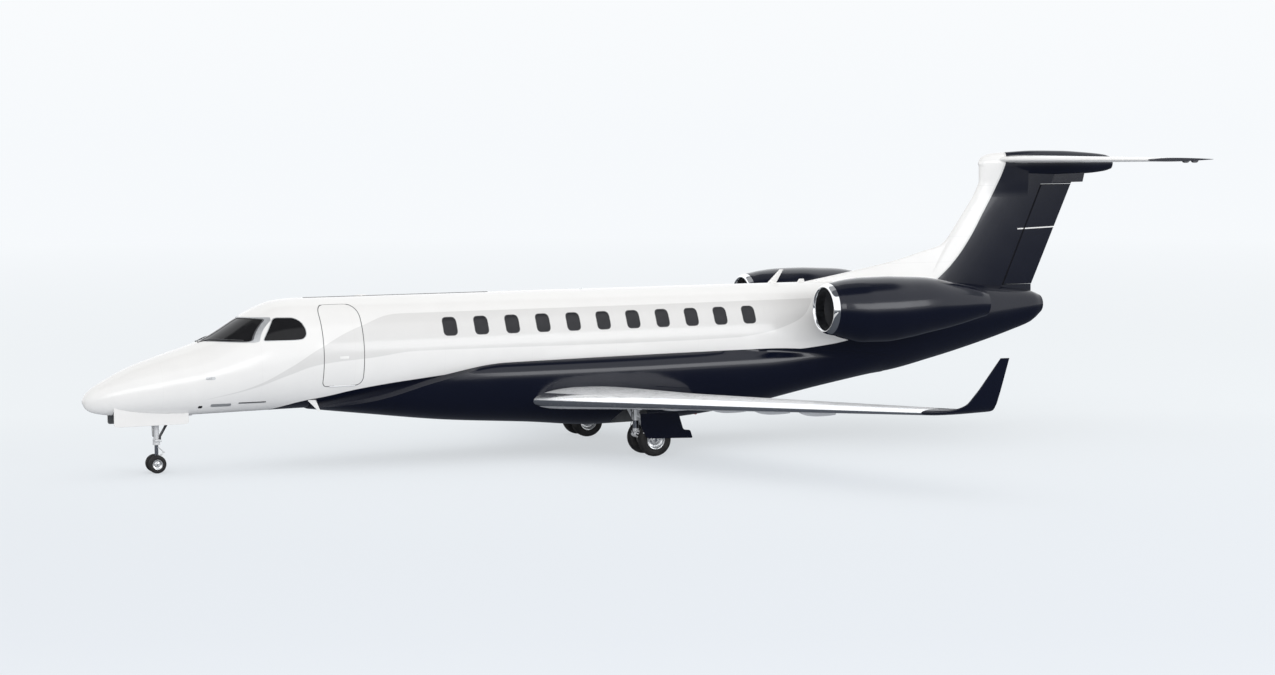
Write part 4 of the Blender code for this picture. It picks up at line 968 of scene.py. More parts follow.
def shell(name, start, end, paint, outer=0.0, inner=-WALL):
    """A length of the fuselage's wall, between two distances from its skin."""
    return tube(name, fuselage_rings(start, end, outer), fuselage_rings(start, end, inner), paint)


@functools.lru_cache(maxsize=None)
def section(x):
    return breadth(x), waist(x), crown(x), keel(x)


def half_sizes(x, z):
    """The fuselage's half width at X, its middle height, and its half height above or below that."""
    wide, middle, top, bottom = section(x)
    return wide, middle, top - middle if z >= middle else middle - bottom


def hull_level(x, y, z):
    """1 on the fuselage's skin, less inside it and more outside it."""
    wide, middle, tall = half_sizes(round(x, 6), z)
    return (y / wide) ** 2 + ((z - middle) / tall) ** 2


def hull_normal(x, y, z):
    """The direction that the fuselage's skin faces."""
    wide, middle, tall = half_sizes(round(x, 6), z)
    step = 0.002
    slope = (hull_level(x + step, y, z) - hull_level(x - step, y, z)) / (2 * step)
    return Vector((slope, 2 * y / wide**2, 2 * (z - middle) / tall**2)).normalized()


def even(obj):
    """Gives the skin the true fuselage's normals, so that windows and doors don't dent its shine."""
    mesh = obj.data
    normals = [Vector(corner.vector) for corner in mesh.corner_normals]
    for face in mesh.polygons:
        for loop in face.loop_indices:
            true = hull_normal(*mesh.vertices[mesh.loops[loop].vertex_index].co)
            if true.dot(face.normal) > 0.97:
                normals[loop] = true
    mesh.normals_split_custom_set(normals)
    return obj


def half_breadth(x, z):
    """How far the skin is from the middle at this height."""
    wide, middle, tall = half_sizes(x, z)
    return wide * math.sqrt(max(0.0, 1 - ((z - middle) / tall) ** 2))


def nose_x(y, z):
    """X of the cockpit's front skin at this Y and Z."""
    low, high = -12.6, -8.4
    for _ in range(40):
        middle = (low + high) / 2
        if hull_level(middle, y, z) > 1:
            low = middle
        else:
            high = middle
    return high


def prism(outlines, depths, paint, place_at):
    """Outlines drawn out between two depths."""
    bm = bmesh.new()
    for outline in outlines:
        rows = skin(bm, [[place_at(depth, *point) for point in outline] for depth in depths])
        bm.faces.new(rows[0])
        bm.faces.new(rows[1])
    return finish("prism", bm, paint)


def side_prism(outlines, side, paint=None, inner=0.55, outer=1.5):
    """Outlines seen from the side, drawn out through one wall of the fuselage."""
    return prism(outlines, (inner, outer), paint, lambda y, x, z: (x, side * y, z))


def front_prism(outlines, side, paint=None):
    """Outlines seen from ahead, drawn back through the cockpit's front."""
    return prism(outlines, (-11.2, -9.24), paint, lambda x, y, z: (x, side * y, z))


def band(name, span, outlines, width, shape, side, proud, paint, outer=None):
    """A frame round each outline, of some width or out to other outlines, a little proud of the skin."""
    made = shell(name, *span, paint, proud, -0.03)
    keep(made, shape(outer or [grown(outline, width) for outline in outlines], side, paint))
    return cut(made, shape(outlines, side, paint))


def pane(name, span, outlines, shape, side, paint):
    """The glass of each outline, a little below the skin."""
    made = shell(name, *span, paint, -0.006, -0.035)
    return keep(made, shape([grown(outline, -0.001) for outline in outlines], side, paint))


WINDSHIELD = softened(
    [(0.025, 2.83), (0.60, 2.84), (0.92, 2.83), (0.68, 3.27), (0.36, 3.285), (0.025, 3.27)],
    [0.04, 0.2, 0.05, 0.05, 0.2, 0.04],
)
WINDSHIELD_FRAME = softened(
    [(0.010, 2.812), (0.60, 2.818), (0.995, 2.800), (0.735, 3.315), (0.36, 3.318), (0.010, 3.302)],
    [0.03, 0.2, 0.06, 0.06, 0.2, 0.03],
)
SIDE_WINDOW = softened(
    [(-9.47, 2.84), (-9.20, 3.27), (-9.14, 3.30), (-8.77, 3.295), (-8.62, 3.21), (-8.55, 3.05), (-8.55, 2.94),
     (-8.62, 2.86), (-8.76, 2.84)],
    [0.05, 0.04, 0.04, 0.08, 0.08, 0.05, 0.05, 0.05, 0.08],
)
WINDOWS = []
for number in range(WINDOW_COUNT):
    middle = WINDOW_FIRST + number * WINDOW_PITCH
    wide, tall = (size / 2 for size in WINDOW_SIZE)
    heights = (WINDOW_HEIGHT - tall, WINDOW_HEIGHT + tall)
    WINDOWS.append(rounded((middle - wide, middle + wide), heights, 0.10, 0.10))
DOOR = softened(
    [(DOOR_X[0], DOOR_Z[0]), (DOOR_X[1], DOOR_Z[0]), (DOOR_X[1], DOOR_Z[1]), (DOOR_X[0], DOOR_Z[1])],
    [0.12, 0.20, 0.30, 0.20],
)
SERVICE_DOOR = rounded(SERVICE_X, SERVICE_Z, 0.14, 0.14)
DOORWAY = (-8.40, -7.05)
DOOR_DEPTH = 0.3
KNUCKLE_RADIUS = 0.016
KNUCKLE_LENGTH = 0.10
KNUCKLE_INSET = 0.16
TREAD_COUNT = 5
TREAD_FIRST = 2.02
TREAD_PITCH = 0.28
TREAD_X = (-8.05, -7.43)
HANDLE_X = (-7.84, -7.64)
HANDLE_Z = 2.42
NOSE_BAY = ((-12.56, -0.33, 1.0), (-10.98, 0.33, 1.72))
PAD_RADIUS = 0.05
BULKHEAD_X = (3.20, 3.28)
EXHAUST_Z = 2.91


def build_nose():
    xs = crowded(-HALF_LENGTH, NOSE_JOINT + HALF_LENGTH, 26, 2)
    xs[-1] -= SEAM / 2
    radome = even(loft("radome_skin", [fuselage_ring(x) for x in xs], FUSELAGE_PAINT))
    show(radome, "airframe", "white_composite", "radome")
    nose = loft("nose_skin", fuselage_rings(NOSE_JOINT, COCKPIT_FRONT), FUSELAGE_PAINT)
    cut(nose, block("bay", *NOSE_BAY, GEAR_PAINT))
    pad = rod("pad", (-10.86, 0, 1.30), (-10.86, 0, 1.20), PAD_RADIUS, GEAR_PAINT)
    show(gather("nose_body", even(nose), pad), "airframe", "white_skin", "nose_section")


def build_cockpit():
    span = (COCKPIT_FRONT, COCKPIT_REAR)
    body = shell("cockpit_skin", *span, FUSELAGE_PAINT)
    for side, _ in SIDES:
        cut(body, front_prism([WINDSHIELD], side, SEAL_RUBBER), side_prism([SIDE_WINDOW], side, SEAL_RUBBER))
    show(even(body), "airframe", "white_skin", "cockpit_section")
    for side, name in SIDES:
        glass = pane("windshield_glass_" + name, span, [WINDSHIELD], front_prism, side, COCKPIT_GLASS)
        show(even(glass), "airframe", "glazing", "windshield_" + name)
        glass = pane("side_glass_" + name, span, [SIDE_WINDOW], side_prism, side, COCKPIT_GLASS)
        show(even(glass), "airframe", "glazing", "side_window_" + name)
        rim = band(
            "windshield_frame_" + name, span, [grown(WINDSHIELD, 0.016)], 0.0, front_prism, side,
            0.004, FRAME_METAL, [WINDSHIELD_FRAME],
        )
        show(even(rim), "airframe", "gear_metal")
        seal = band(
            "windshield_seal_" + name, span, [WINDSHIELD], 0.0155, front_prism, side, 0.002, SEAL_RUBBER,
        )
        show(even(seal), "airframe", "glazing")
        rim = band("side_frame_" + name, span, [SIDE_WINDOW], 0.014, side_prism, side, 0.003, FRAME_METAL)
        show(even(rim), "airframe", "gear_metal")


def door_hinge():
    """Y and Z of the passenger door's hinge line."""
    z = DOOR_Z[0] - DOOR_GAP
    return -half_breadth((DOOR_X[0] + DOOR_X[1]) / 2, z) - 0.002, z


def knuckle(start, end, grow, paint):
    """A barrel of the passenger door's hinge."""
    y, z = door_hinge()
    return rod("knuckle", (start, y, z), (end, y, z), KNUCKLE_RADIUS + grow, paint, bevel=0.0)


def treads():
    """The steps and their side plates on the inside of the passenger door."""
    left, right = TREAD_X
    parts = []
    for k in range(TREAD_COUNT):
        z = TREAD_FIRST + TREAD_PITCH * k
        y = -half_breadth((left + right) / 2, z) + WALL
        low, high = (left, y - 0.02, z - 0.018), (right, y + 0.17, z + 0.018)
        parts.append(block("tread", low, high, GEAR_PAINT, 0.005))
        low, high = (left + 0.03, y + 0.01, z + 0.018), (right - 0.03, y + 0.16, z + 0.023)
        parts.append(block("grip", low, high, DARK_STEEL))
        for x in (left + 0.02, right - 0.04):
            low, high = (x - 0.012, y - 0.03, z - 0.12), (x + 0.012, y + 0.09, z + 0.01)
            parts.append(block("side", low, high, GEAR_PAINT))
    return parts


def build_forward_cabin():
    forward = shell("forward_skin", COCKPIT_REAR, CABIN_FRONT, FUSELAGE_PAINT)
    door = shell("door_skin", *DOORWAY, FUSELAGE_PAINT)
    keep(door, side_prism([grown(DOOR, -DOOR_GAP)], -1, SEAL_RUBBER, DOOR_DEPTH))
    cut(forward, side_prism([DOOR], -1, SEAL_RUBBER, DOOR_DEPTH))
    cut(forward, side_prism([SERVICE_DOOR], 1, SEAL_RUBBER, DOOR_DEPTH))
    left, right = DOOR_X[0] + KNUCKLE_INSET, DOOR_X[1] - KNUCKLE_INSET
    barrels = []
    for start in (left, right - KNUCKLE_LENGTH):
        cut(door, knuckle(start - 0.001, start + KNUCKLE_LENGTH + 0.001, DOOR_GAP, SEAL_RUBBER))
        barrels.append(knuckle(start, start + KNUCKLE_LENGTH, 0.0, GEAR_PAINT))
    left, right = left + KNUCKLE_LENGTH, right - KNUCKLE_LENGTH
    cut(forward, knuckle(left, right, DOOR_GAP, SEAL_RUBBER))
    show(gather("forward_body", even(forward), *barrels), "airframe", "white_skin", "forward_fuselage")
    barrel = knuckle(left + SEAM, right - SEAM, 0.0, GEAR_PAINT)
    front, rear = HANDLE_X
    y = -half_breadth((front + rear) / 2, HANDLE_Z)
    low, high = (front, y - 0.002, HANDLE_Z - 0.03), (rear, y + 0.02, HANDLE_Z + 0.03)
    parts = [even(door), barrel, *treads(), block("handle", low, high, WHITE_PAINT, 0.002)]
    show(gather("door_body", *parts), "passenger_door", "white_skin", "passenger_door")
    seal = band("door_seal", DOORWAY, [DOOR], 0.010, side_prism, -1, 0.001, SEAL_RUBBER)
    show(even(seal), "airframe", "white_skin")
    service = shell("service_skin", *DOORWAY, FUSELAGE_PAINT)
    keep(service, side_prism([grown(SERVICE_DOOR, -0.004)], 1, SEAL_RUBBER, DOOR_DEPTH))
    show(even(service), "airframe", "white_skin", "service_door")
    seal = band("service_seal", DOORWAY, [SERVICE_DOOR], 0.010, side_prism, 1, 0.001, SEAL_RUBBER)
    show(even(seal), "airframe", "white_skin")


def build_cabin():
    span = (CABIN_FRONT, CABIN_REAR)
    body = shell("center_skin", *span, FUSELAGE_PAINT)
    for side, _ in SIDES:
        cut(body, side_prism(WINDOWS, side, SEAL_RUBBER))
    show(even(body), "airframe", "white_skin", "center_fuselage")
    for side, name in SIDES:
        glass = pane("cabin_glass_" + name, span, WINDOWS, side_prism, side, WINDOW_GLASS)
        show(even(glass), "airframe", "glazing", "cabin_windows_" + name)
        rims = band("window_rims_" + name, span, WINDOWS, 0.012, side_prism, side, 0.002, SEAL_RUBBER)
        show(even(rims), "airframe", "glazing")


def build_rear():
    aft = shell("aft_skin", CABIN_REAR, TAIL_FRONT, FUSELAGE_PAINT, 0.0, -TAIL_WALL)
    wall = loft("aft_bulkhead", [fuselage_ring(x, -TAIL_WALL / 2) for x in BULKHEAD_X], TRIM)
    show(gather("aft_body", even(aft), wall), "airframe", "white_rear_skin", "aft_fuselage")
    tail = shell("tail_skin", TAIL_FRONT, CONE_FRONT, FUSELAGE_PAINT, 0.0, -TAIL_WALL)
    show(even(tail), "airframe", "navy_rear_skin", "tail_section")
    cone = loft("cone_skin", fuselage_rings(CONE_FRONT, CONE_END), FUSELAGE_PAINT)
    cut(cone, rod("exhaust", (10.2, 0, EXHAUST_Z), (11.2, 0, EXHAUST_Z), 0.11, EXHAUST_METAL, 40))
    repainted(cone, EXHAUST_METAL, lambda centre, normal: normal.x > 0.9 and centre.x > CONE_END - 0.012)
    ring = [(10.66, 0.095), (10.725, 0.095), (10.73, 0.102), (10.725, 0.112), (10.66, 0.112)]
    centre = (10.0, 0, EXHAUST_Z)
    nozzle = turned("nozzle", [(d - 10.0, r) for d, r in ring], centre, (1, 0, 0), EXHAUST_METAL, 48, True)
    show(gather("cone_body", even(cone), nozzle), "airframe", "navy_composite", "tail_cone")


# Belly fairing
def fairing_ring(x):
    """The fairing's outside from edge to edge, and a line back inside the fuselage's wall."""
    middle, deep = waist(x), waist(x) - keel(x)
    wide, drop = fairing_breadth(x), FAIRING_WAIST - fairing_keel(x)
    start = math.asin((fairing_top(x) - middle) / deep)
    outer, inner = [], []
    for a in arc(-math.pi - start, math.pi + 2 * start, FAIRING_POINTS - 1):
        y, z = breadth(x) * math.cos(a), middle + deep * math.sin(a)
        low, high = 1.0, 3.0
        for _ in range(30):
            scale = (low + high) / 2
            v = middle + (z - middle) * scale - FAIRING_WAIST
            level = abs(y * scale / wide) ** FAIRING_POWER
            level += abs(v / (drop if v < 0 else FAIRING_RISE)) ** FAIRING_POWER
            low, high = (low, scale) if level > 1 else (scale, high)
        fade = 1 - min(1.0, max(0.0, (x - CABIN_REAR) / FAIRING_FADE)) ** 1.5
        scale = max(1 + (high - 1) * fade, 1 + FAIRING_SKIN / math.hypot(y, z - middle))
        outer.append((x, y * scale, middle + (z - middle) * scale))
        inner.append((x, y * 0.97, middle + (z - middle) * 0.97))
    return outer + inner[::-1]


def build_fairing():
    for name, start, end in FAIRING_SPANS:
        xs = spread(start + SEAM / 2, end - SEAM / 2, RING_STEP)
        made = loft("fairing_" + name, [fairing_ring(x) for x in xs], NAVY_PAINT, 50)
        if name == "center":
            for side, _ in SIDES:
                foot, head = ((MAIN_GEAR_X, side * WELL_Y, z) for z in WELL_Z)
                cut(made, rod("well", foot, head, WELL_RADIUS, DARK_WELL_AND_DOOR_SHADE, 64))
        show(made, "airframe", "navy_composite", "belly_fairing_" + name)


# Blades and wings
def half_thickness(part, thick):
    """Half the thickness of an aerofoil at a share of its chord, for a chord of 1."""
    return 5 * thick * (
        0.2969 * part**0.5 - 0.1260 * part - 0.3516 * part**2 + 0.2843 * part**3 - 0.1036 * part**4
    )


def aerofoil(thick, camber, count):
    """Points from the upper trailing edge round the nose to the lower one, for a chord of 1."""
    upper, lower = [], []
    for k in range(count):
        x = (1 - math.cos(math.pi * k / (count - 1))) / 2
        half = half_thickness(x, thick) + TRAILING_EDGE * x
        mean = camber * 4 * x * (1 - x)
        upper.append((x, mean + half))
        lower.append((x, mean - half))
    return upper[::-1] + lower[1:]


def blade_ring(nose, chord, thick, up, camber=0.0, incidence=0.0, count=WING_POINTS):
    """A section whose nose is at a point, with its chord along +X and its thickness along up."""
    nose, up = Vector(nose), Vector(up)
    along = Vector((math.cos(incidence), 0, 0)) - up * math.sin(incidence)
    return [tuple(nose + along * (x * chord) + up * (v * chord)) for x, v in aerofoil(thick, camber, count)]


def wing_ring(side, y):
    """The wing's section at Y, tilted a little nose up."""
    nose = (wing_leading(y), side * y, wing_height(y))
    return blade_ring(nose, wing_chord(y), wing_thick(y), (0, 0, 1), WING_CAMBER, WING_INCIDENCE)


def wing_at(y, part):
    """X, and the upper and lower height of the wing at this share of its chord."""
    chord = wing_chord(y)
    half = half_thickness(part, wing_thick(y)) * chord
    mean = WING_CAMBER * 4 * part * (1 - part) * chord
    base = wing_height(y) - part * chord * math.sin(WING_INCIDENCE) + mean
    return wing_leading(y) + part * chord * math.cos(WING_INCIDENCE), base + half, base - half


def wing_solid(side, name):
    return loft(name, [wing_ring(side, y) for y in WING_STATIONS], WING_PAINT, BLADE_SHARP)


def flap_hinge(y):
    """X and Z of the flaps' hinge line at Y."""
    x, _, low = wing_at(y, FLAP_HINGE)
    return x + FLAP_SET_BACK, low + FLAP_RAISED


def flap_block(side, span, gap, paint):
    """The space of a flap, shaped at its lower front edge and inner end to swing, or the notch for it."""
    rings = []
    for y in span:
        x, z = flap_hinge(y)
        lean = FLAP_LEAN if gap and y == span[0] else 0.0
        if gap:
            front = [(x - FLAP_FRONT, z + REACH), (x - FLAP_FRONT, z), (x + FLAP_CHAMFER, z - REACH)]
        else:
            front = [(x - FLAP_SLOT, z + REACH), (x - FLAP_SLOT, z), (x - FLAP_SLOT, z - REACH)]
        ring = front + [(x + LENGTHEN, z - REACH), (x + LENGTHEN, z + REACH)]
        rings.append([(px, side * (y + lean * (pz - z)), pz) for px, pz in ring])
    return loft("space", rings, paint)


def nose_block(hinge, place_at, span, gap, paint):
    """The space of a surface that turns both ways about a round nose, or the cove that it moves in."""
    rings = []
    for s in span:
        aft, middle, radius = hinge(s)
        lean = 0.0 if gap else NOSE_LEAN
        size = radius if gap else radius + NOSE_GAP
        turns = arc(math.pi / 2 + lean, math.pi - 2 * lean, 14)
        front = [(size * math.cos(a), size * math.sin(a)) for a in turns]
        ring = [(front[0][0], REACH), *front, (front[-1][0], -REACH), (LENGTHEN, -REACH), (LENGTHEN, REACH)]
        rings.append([place_at(s, aft + a, middle + b) for a, b in ring])
    return loft("space", rings, paint)


def across(side):
    """Places a point of a section across the wing or tailplane of one side."""
    return lambda y, x, z: (x, side * y, z)


def upright(z, x, y):
    """Places a point of a section across the fin."""
    return (x, y, z)


def aileron_hinge(y):
    """X and Z of the aileron's hinge line at Y, and the wing's half thickness there."""
    x, high, low = wing_at(y, AILERON_HINGE)
    return x, (high + low) / 2, (high - low) / 2


def flap_pod(side, y):
    """A slim pod under the wing that covers a flap's track."""
    x, z = flap_hinge(y)
    end = x - FLAP_SLOT - 0.014
    size_at = curve(POD)
    rings = []
    for part in spread(0.0, 1.0, 0.05):
        size, middle, px = size_at(part), z - 0.07 - 0.02 * part, end - POD_LENGTH * (1 - part)
        rings.append(oval(px, side * y, middle, POD_WIDTH * size, size, 28))
    return loft("pod", rings, WING_PAINT)


def wick(start, length=0.11):
    """A thin rod at a trailing edge that sheds static."""
    x, y, z = start
    base = rod("foot", (x - 0.03, y, z), (x + 0.012, y, z), 0.006, GEAR_PAINT, 10, 0.001)
    return [base, rod("wick", (x, y, z), (x + length, y, z), 0.0028, DARK_STEEL, 8, 0.0005)]


def build_wing(side, name):
    wing = wing_solid(side, "wing_skin_" + name)
    root = []
    for x in spread(-6.0, 4.0, 0.5):
        root.append(fairing_ring(x)[:FAIRING_POINTS] + [(x, 0.6, 3.0), (x, -0.6, 3.0)])
    cut(wing, loft("root", root, WING_PAINT))
    cut(wing, flap_block(side, (FLAP_INBOARD[0], FLAP_INBOARD[1] + PANEL_GAP), False, GEAR_PAINT))
    cut(wing, flap_block(side, (FLAP_OUTBOARD[0] - PANEL_GAP, FLAP_OUTBOARD[1]), False, GEAR_PAINT))
    cut(wing, nose_block(aileron_hinge, across(side), AILERON, False, GEAR_PAINT))
    front, rear, inner, outer, top = GEAR_SLOT
    reach = sorted((side * inner, side * outer))
    cut(wing, block("slot", (front, reach[0], 0.6), (rear, reach[1], top), GEAR_PAINT))
    x, _, low = wing_at(WING_PAD_Y, 0.27)
    y = side * WING_PAD_Y
    pad = rod("pad", (x, y, low + 0.10), (x, y, low - 0.012), PAD_RADIUS, GEAR_PAINT)
    pods = [flap_pod(side, y) for y in POD_Y]
    show(gather("wing_body_" + name, wing, pad, *pods), "airframe", "wing_metal", "wing_" + name)
    inner = ("inboard_flap_", (FLAP_INBOARD[0] + END_GAP, FLAP_INBOARD[1]))
    outer = ("outboard_flap_", (FLAP_OUTBOARD[0], FLAP_OUTBOARD[1] - END_GAP))
    for flap, span in (inner, outer):
        made = keep(wing_solid(side, flap + "skin_" + name), flap_block(side, span, True, GEAR_PAINT))
        show(made, flap + name, "wing_surfaces", flap + name)
    inset = (AILERON[0] + END_GAP, AILERON[1] - END_GAP)
    cove = nose_block(aileron_hinge, across(side), inset, True, WING_PAINT)
    made = keep(wing_solid(side, "aileron_skin_" + name), cove)
    wicks = []
    for y in AILERON_WICKS:
        x, high, low = wing_at(y, 1.0)
        wicks += wick((x, side * y, (high + low) / 2))
    show(gather("aileron_body_" + name, made, *wicks), "aileron_" + name, "wing_surfaces", "aileron_" + name)


def build_winglet(side, name):
    along = [curve([(i, row[j]) for i, row in enumerate(WINGLET)]) for j in range(6)]
    rings = []
    for t in spread(0.0, 5.0, 0.125):
        y, z, x, chord, thick, cant = (value(t) for value in along)
        turn = math.radians(cant)
        up = (0.0, -side * math.sin(turn), math.cos(turn))
        rings.append(blade_ring((x, side * y, z), chord, thick, up, WING_CAMBER, WING_INCIDENCE))
    made = loft("winglet_skin_" + name, rings, NAVY_PAINT, BLADE_SHARP)
    colour = RED_LENS if side < 0 else GREEN_LENS
    lens = turned("lens", TIP_LAMP, (1.80, side * 10.05, 1.665), (1.0, side * 0.9, 0.0), colour, 32)
    show(gather("winglet_body_" + name, made, lens), "airframe", "navy_composite", "winglet_" + name)


# Tail
FIN_THICK = 0.10
FIN_Z = (3.20, 6.40)
RUDDER_GAP = 0.4 * END_GAP
RUDDER_SLOPE = 0.036
SILL_X = (9.45, 1.03)
CHEEK_Z = (5.60, 6.46)
CHEEK_NOSE = (8.957, 5.955)
REAR_BLOCK = [(10.9, 5.935), (11.954, 5.945), (12.018, 6.20), (10.9, 6.20)]
BUMP_X = (12.40, 12.66)
BUMP_Z = 6.505


def fin_half(z):
    """X and Y of the rudder's hinge line at this height, and the fin's half thickness there."""
    nose, tail = fin_leading(z), fin_trailing(z)
    part = (rudder_hinge(z) - nose) / (tail - nose)
    return rudder_hinge(z), 0.0, half_thickness(part, FIN_THICK) * (tail - nose)


def fin_solid(name):
    rings = []
    for z in spread(*FIN_Z, 0.2):
        nose, chord = fin_leading(z), fin_trailing(z) - fin_leading(z)
        rings.append(blade_ring((nose, 0.0, z), chord, FIN_THICK, (0, 1, 0)))
    return loft(name, rings, FIN_PAINT, BLADE_SHARP)


def dorsal_solid():
    """The low ridge that runs along the top of the fuselage into the fin."""
    crest = curve(DORSAL)
    front, rear = DORSAL[0][0], DORSAL[-1][0]
    rings = []
    for x in spread(front, rear, 0.12):
        z, half = crest(x), 0.02 + 0.03 * (x - front)
        top = [(x, 0.045 * math.cos(a), z - 0.03 + 0.03 * math.sin(a)) for a in arc(0.0, math.pi, 10)]
        rings.append([(x, -half, 3.2), (x, half, 3.2), *top])
    return loft("dorsal", rings, FIN_PAINT, 50)


def sill():
    """The ledge between the fin's foot and the rudder, with painted shade on its top."""
    front, length = SILL_X
    top = RUDDER_Z[0] - 0.006
    rings = []
    for part in spread(0.0, 1.0, 0.1):
        x, half = front + length * part, 0.075 * (1 - part) ** 0.5 + 0.012
        rings.append([(x, -half, 3.10), (x, half, 3.10), (x, half, top), (x, -half, top)])
    return repainted(loft("sill", rings, NAVY_PAINT, 60), GAP_SHADE, lambda centre, normal: normal.z > 0.9)


def cheek():
    """The fuller front of the fin that leads up into the bullet."""
    low, high = CHEEK_Z
    nose_x, nose_z = CHEEK_NOSE
    rings = []
    for z in spread(low, high, 0.06):
        nose = nose_x - (nose_x - fin_leading(low)) * max(0.0, nose_z - z) / 0.355
        fuller = min(1.0, max(0.0, (z - 5.7) / 0.7))
        rings.append(blade_ring((nose, 0.0, z), 2.8, 0.098 + 0.035 * fuller, (0, 1, 0)))
    made = loft("cheek", rings, FIN_PAINT, BLADE_SHARP)
    return keep(made, block("ahead", (8.0, -0.5, 5.0), (10.3, 0.5, 6.45), FIN_PAINT))


def build_bullet():
    top, bottom, half = (curve([(row[0], row[j]) for row in BULLET]) for j in (1, 2, 3))
    front, rear = BULLET[0][0], BULLET[-1][0]
    rings = []
    for x in crowded(front, rear - front, 60, 1.35):
        middle, tall = (top(x) + bottom(x)) / 2, (top(x) - bottom(x)) / 2
        rings.append(oval(x, 0.0, middle, half(x), tall, 56))
    show(loft("bullet_skin", rings, FIN_PAINT), "airframe", "navy_composite", "bullet_fairing")


def build_fin():
    fin = fin_solid("fin_skin")
    # Painted shade: the cove's cut faces are near-black.
    cut(fin, nose_block(fin_half, upright, (FIN_Z[0] - WALL, RUDDER_Z[1] + RUDDER_GAP), False, GAP_SHADE))
    rear = loft("rear_block", [[(x, y, z) for x, z in REAR_BLOCK] for y in (-0.07, 0.07)], NAVY_PAINT)
    show(gather("fin_body", cheek(), fin, dorsal_solid(), rear, sill()), "airframe", "navy_composite", "fin")
    # Painted shade: the rudder's nose, its ends and the chamfers at its ends are near-black.
    rudder = keep(fin_solid("rudder_skin"), nose_block(fin_half, upright, RUDDER_Z, True, GAP_SHADE))
    for side, _ in SIDES:
        for end, way in zip(RUDDER_Z, (-1, 1)):
            past = end + 0.02 * way
            slope = [(0.004, end), (0.2, end - RUDDER_SLOPE * way), (0.2, past), (0.004, past)]
            wedge = [[(x, side * y, z) for y, z in slope] for x in (9.2, 12.2)]
            cut(rudder, loft("chamfer", wedge, GAP_SHADE))
    show(rudder, "rudder", "navy_composite", "rudder")
    build_bullet()


def stab_thick(y):
    """The stabilizer's thickness at Y, as a share of its chord."""
    return STAB_THICK - STAB_THINNING * y / STAB_TIP


def elevator_half(y):
    """X and Z of the elevator's hinge line at Y, and the stabilizer's half thickness there."""
    nose, chord = stab_leading(y), stab_trailing(y) - stab_leading(y)
    return nose + ELEVATOR_HINGE * chord, STAB_HEIGHT, half_thickness(ELEVATOR_HINGE, stab_thick(y)) * chord


def tip_bump(side, x):
    """A small weight under the stabilizer's tip."""
    edge = [(x + 0.085 * math.cos(a), BUMP_Z + 0.055 * math.sin(a)) for a in arc(math.pi, math.pi, 10)]
    rings = [[(px, side * y, pz) for px, pz in edge] for y in (3.68, 3.70, 3.74, 3.76)]
    return loft("bump", rings, DARK_STEEL)


def build_tailplane(side, name):
    rings = []
    for y in spread(STAB_ROOT, STAB_TIP, 0.5):
        nose = (stab_leading(y), side * y, STAB_HEIGHT)
        rings.append(blade_ring(nose, stab_trailing(y) - stab_leading(y), stab_thick(y), (0, 0, 1)))
    stab = loft("stabilizer_skin_" + name, rings, STABILIZER_PAINT, BLADE_SHARP)
    # Painted shade: the cove's cut faces are near-black.
    cut(stab, nose_block(elevator_half, across(side), ELEVATOR_Y, False, GAP_SHADE))
    bumps = [tip_bump(side, x) for x in BUMP_X]
    show(gather("stabilizer_body_" + name, stab, *bumps), "airframe", "white_composite", "stabilizer_" + name)
    inset = (ELEVATOR_Y[0] + END_GAP, ELEVATOR_Y[1] - END_GAP)
    made = loft("elevator_skin_" + name, rings, STABILIZER_PAINT, BLADE_SHARP)
    keep(made, nose_block(elevator_half, across(side), inset, True, STABILIZER_PAINT))
    wicks = []
    for y in ELEVATOR_WICKS:
        wicks += wick((stab_trailing(y), side * y, STAB_HEIGHT))
    body = "elevator_" + name
    show(gather("elevator_body_" + name, made, *wicks), body, "white_composite", body)


# Engines
LIP = [
    (3.7397, 0.620), (3.62, 0.600), (3.52, 0.570), (3.465, 0.530), (3.475, 0.500), (3.54, 0.480),
    (3.7397, 0.475),
]
SPINNER = [(4.10, 0.0), (4.12, 0.045), (4.17, 0.08), (4.28, 0.13), (4.38, 0.152), (4.44, 0.158)]
FAN_BLADES = 24
BLADE_X = 4.36
STATOR_VANES = 26
STATOR_X = 4.66
DUCT_STRUTS = 4
DUCT_STRUT_X = 5.2
LINER_END = 5.0
DUCT_MARGIN = 0.012
BARE_COWL_X = 7.77
BARE_LIP = (3.60, 0.56)
CORE = [
    (4.4403, 0.150), (4.55, 0.20), (4.70, 0.27), (5.0, 0.355), (5.7, 0.36), (6.4, 0.34), (6.9, 0.23),
    (7.45, 0.02),
]
PYLON = [(4.3, 0.02), (4.45, 0.062), (4.6, 0.09), (5.3, 0.13), (6.2, 0.10), (6.9, 0.05), (7.25, 0.012)]
PYLON_Z = 3.06
PYLON_X = (4.3, 2.95)


def through(points, steps=5):
    """More points along a smooth line through these ones."""
    out = []
    for i in range(len(points) - 1):
        a, b = Vector(points[max(i - 1, 0)]), Vector(points[i])
        c, d = Vector(points[i + 1]), Vector(points[min(i + 2, len(points) - 1)])
        for k in range(steps):
            t = k / steps
            p = b * 2 + (c - a) * t + (a * 2 - b * 5 + c * 4 - d) * t**2 + (b * 3 - a - c * 3 + d) * t**3
            out.append(tuple(p / 2))
    out.append(tuple(points[-1]))
    return out


def from_axis(centre, y):
    """How far a point is from an engine's axis."""
    return math.hypot(centre.y - y, centre.z - ENGINE_Z)


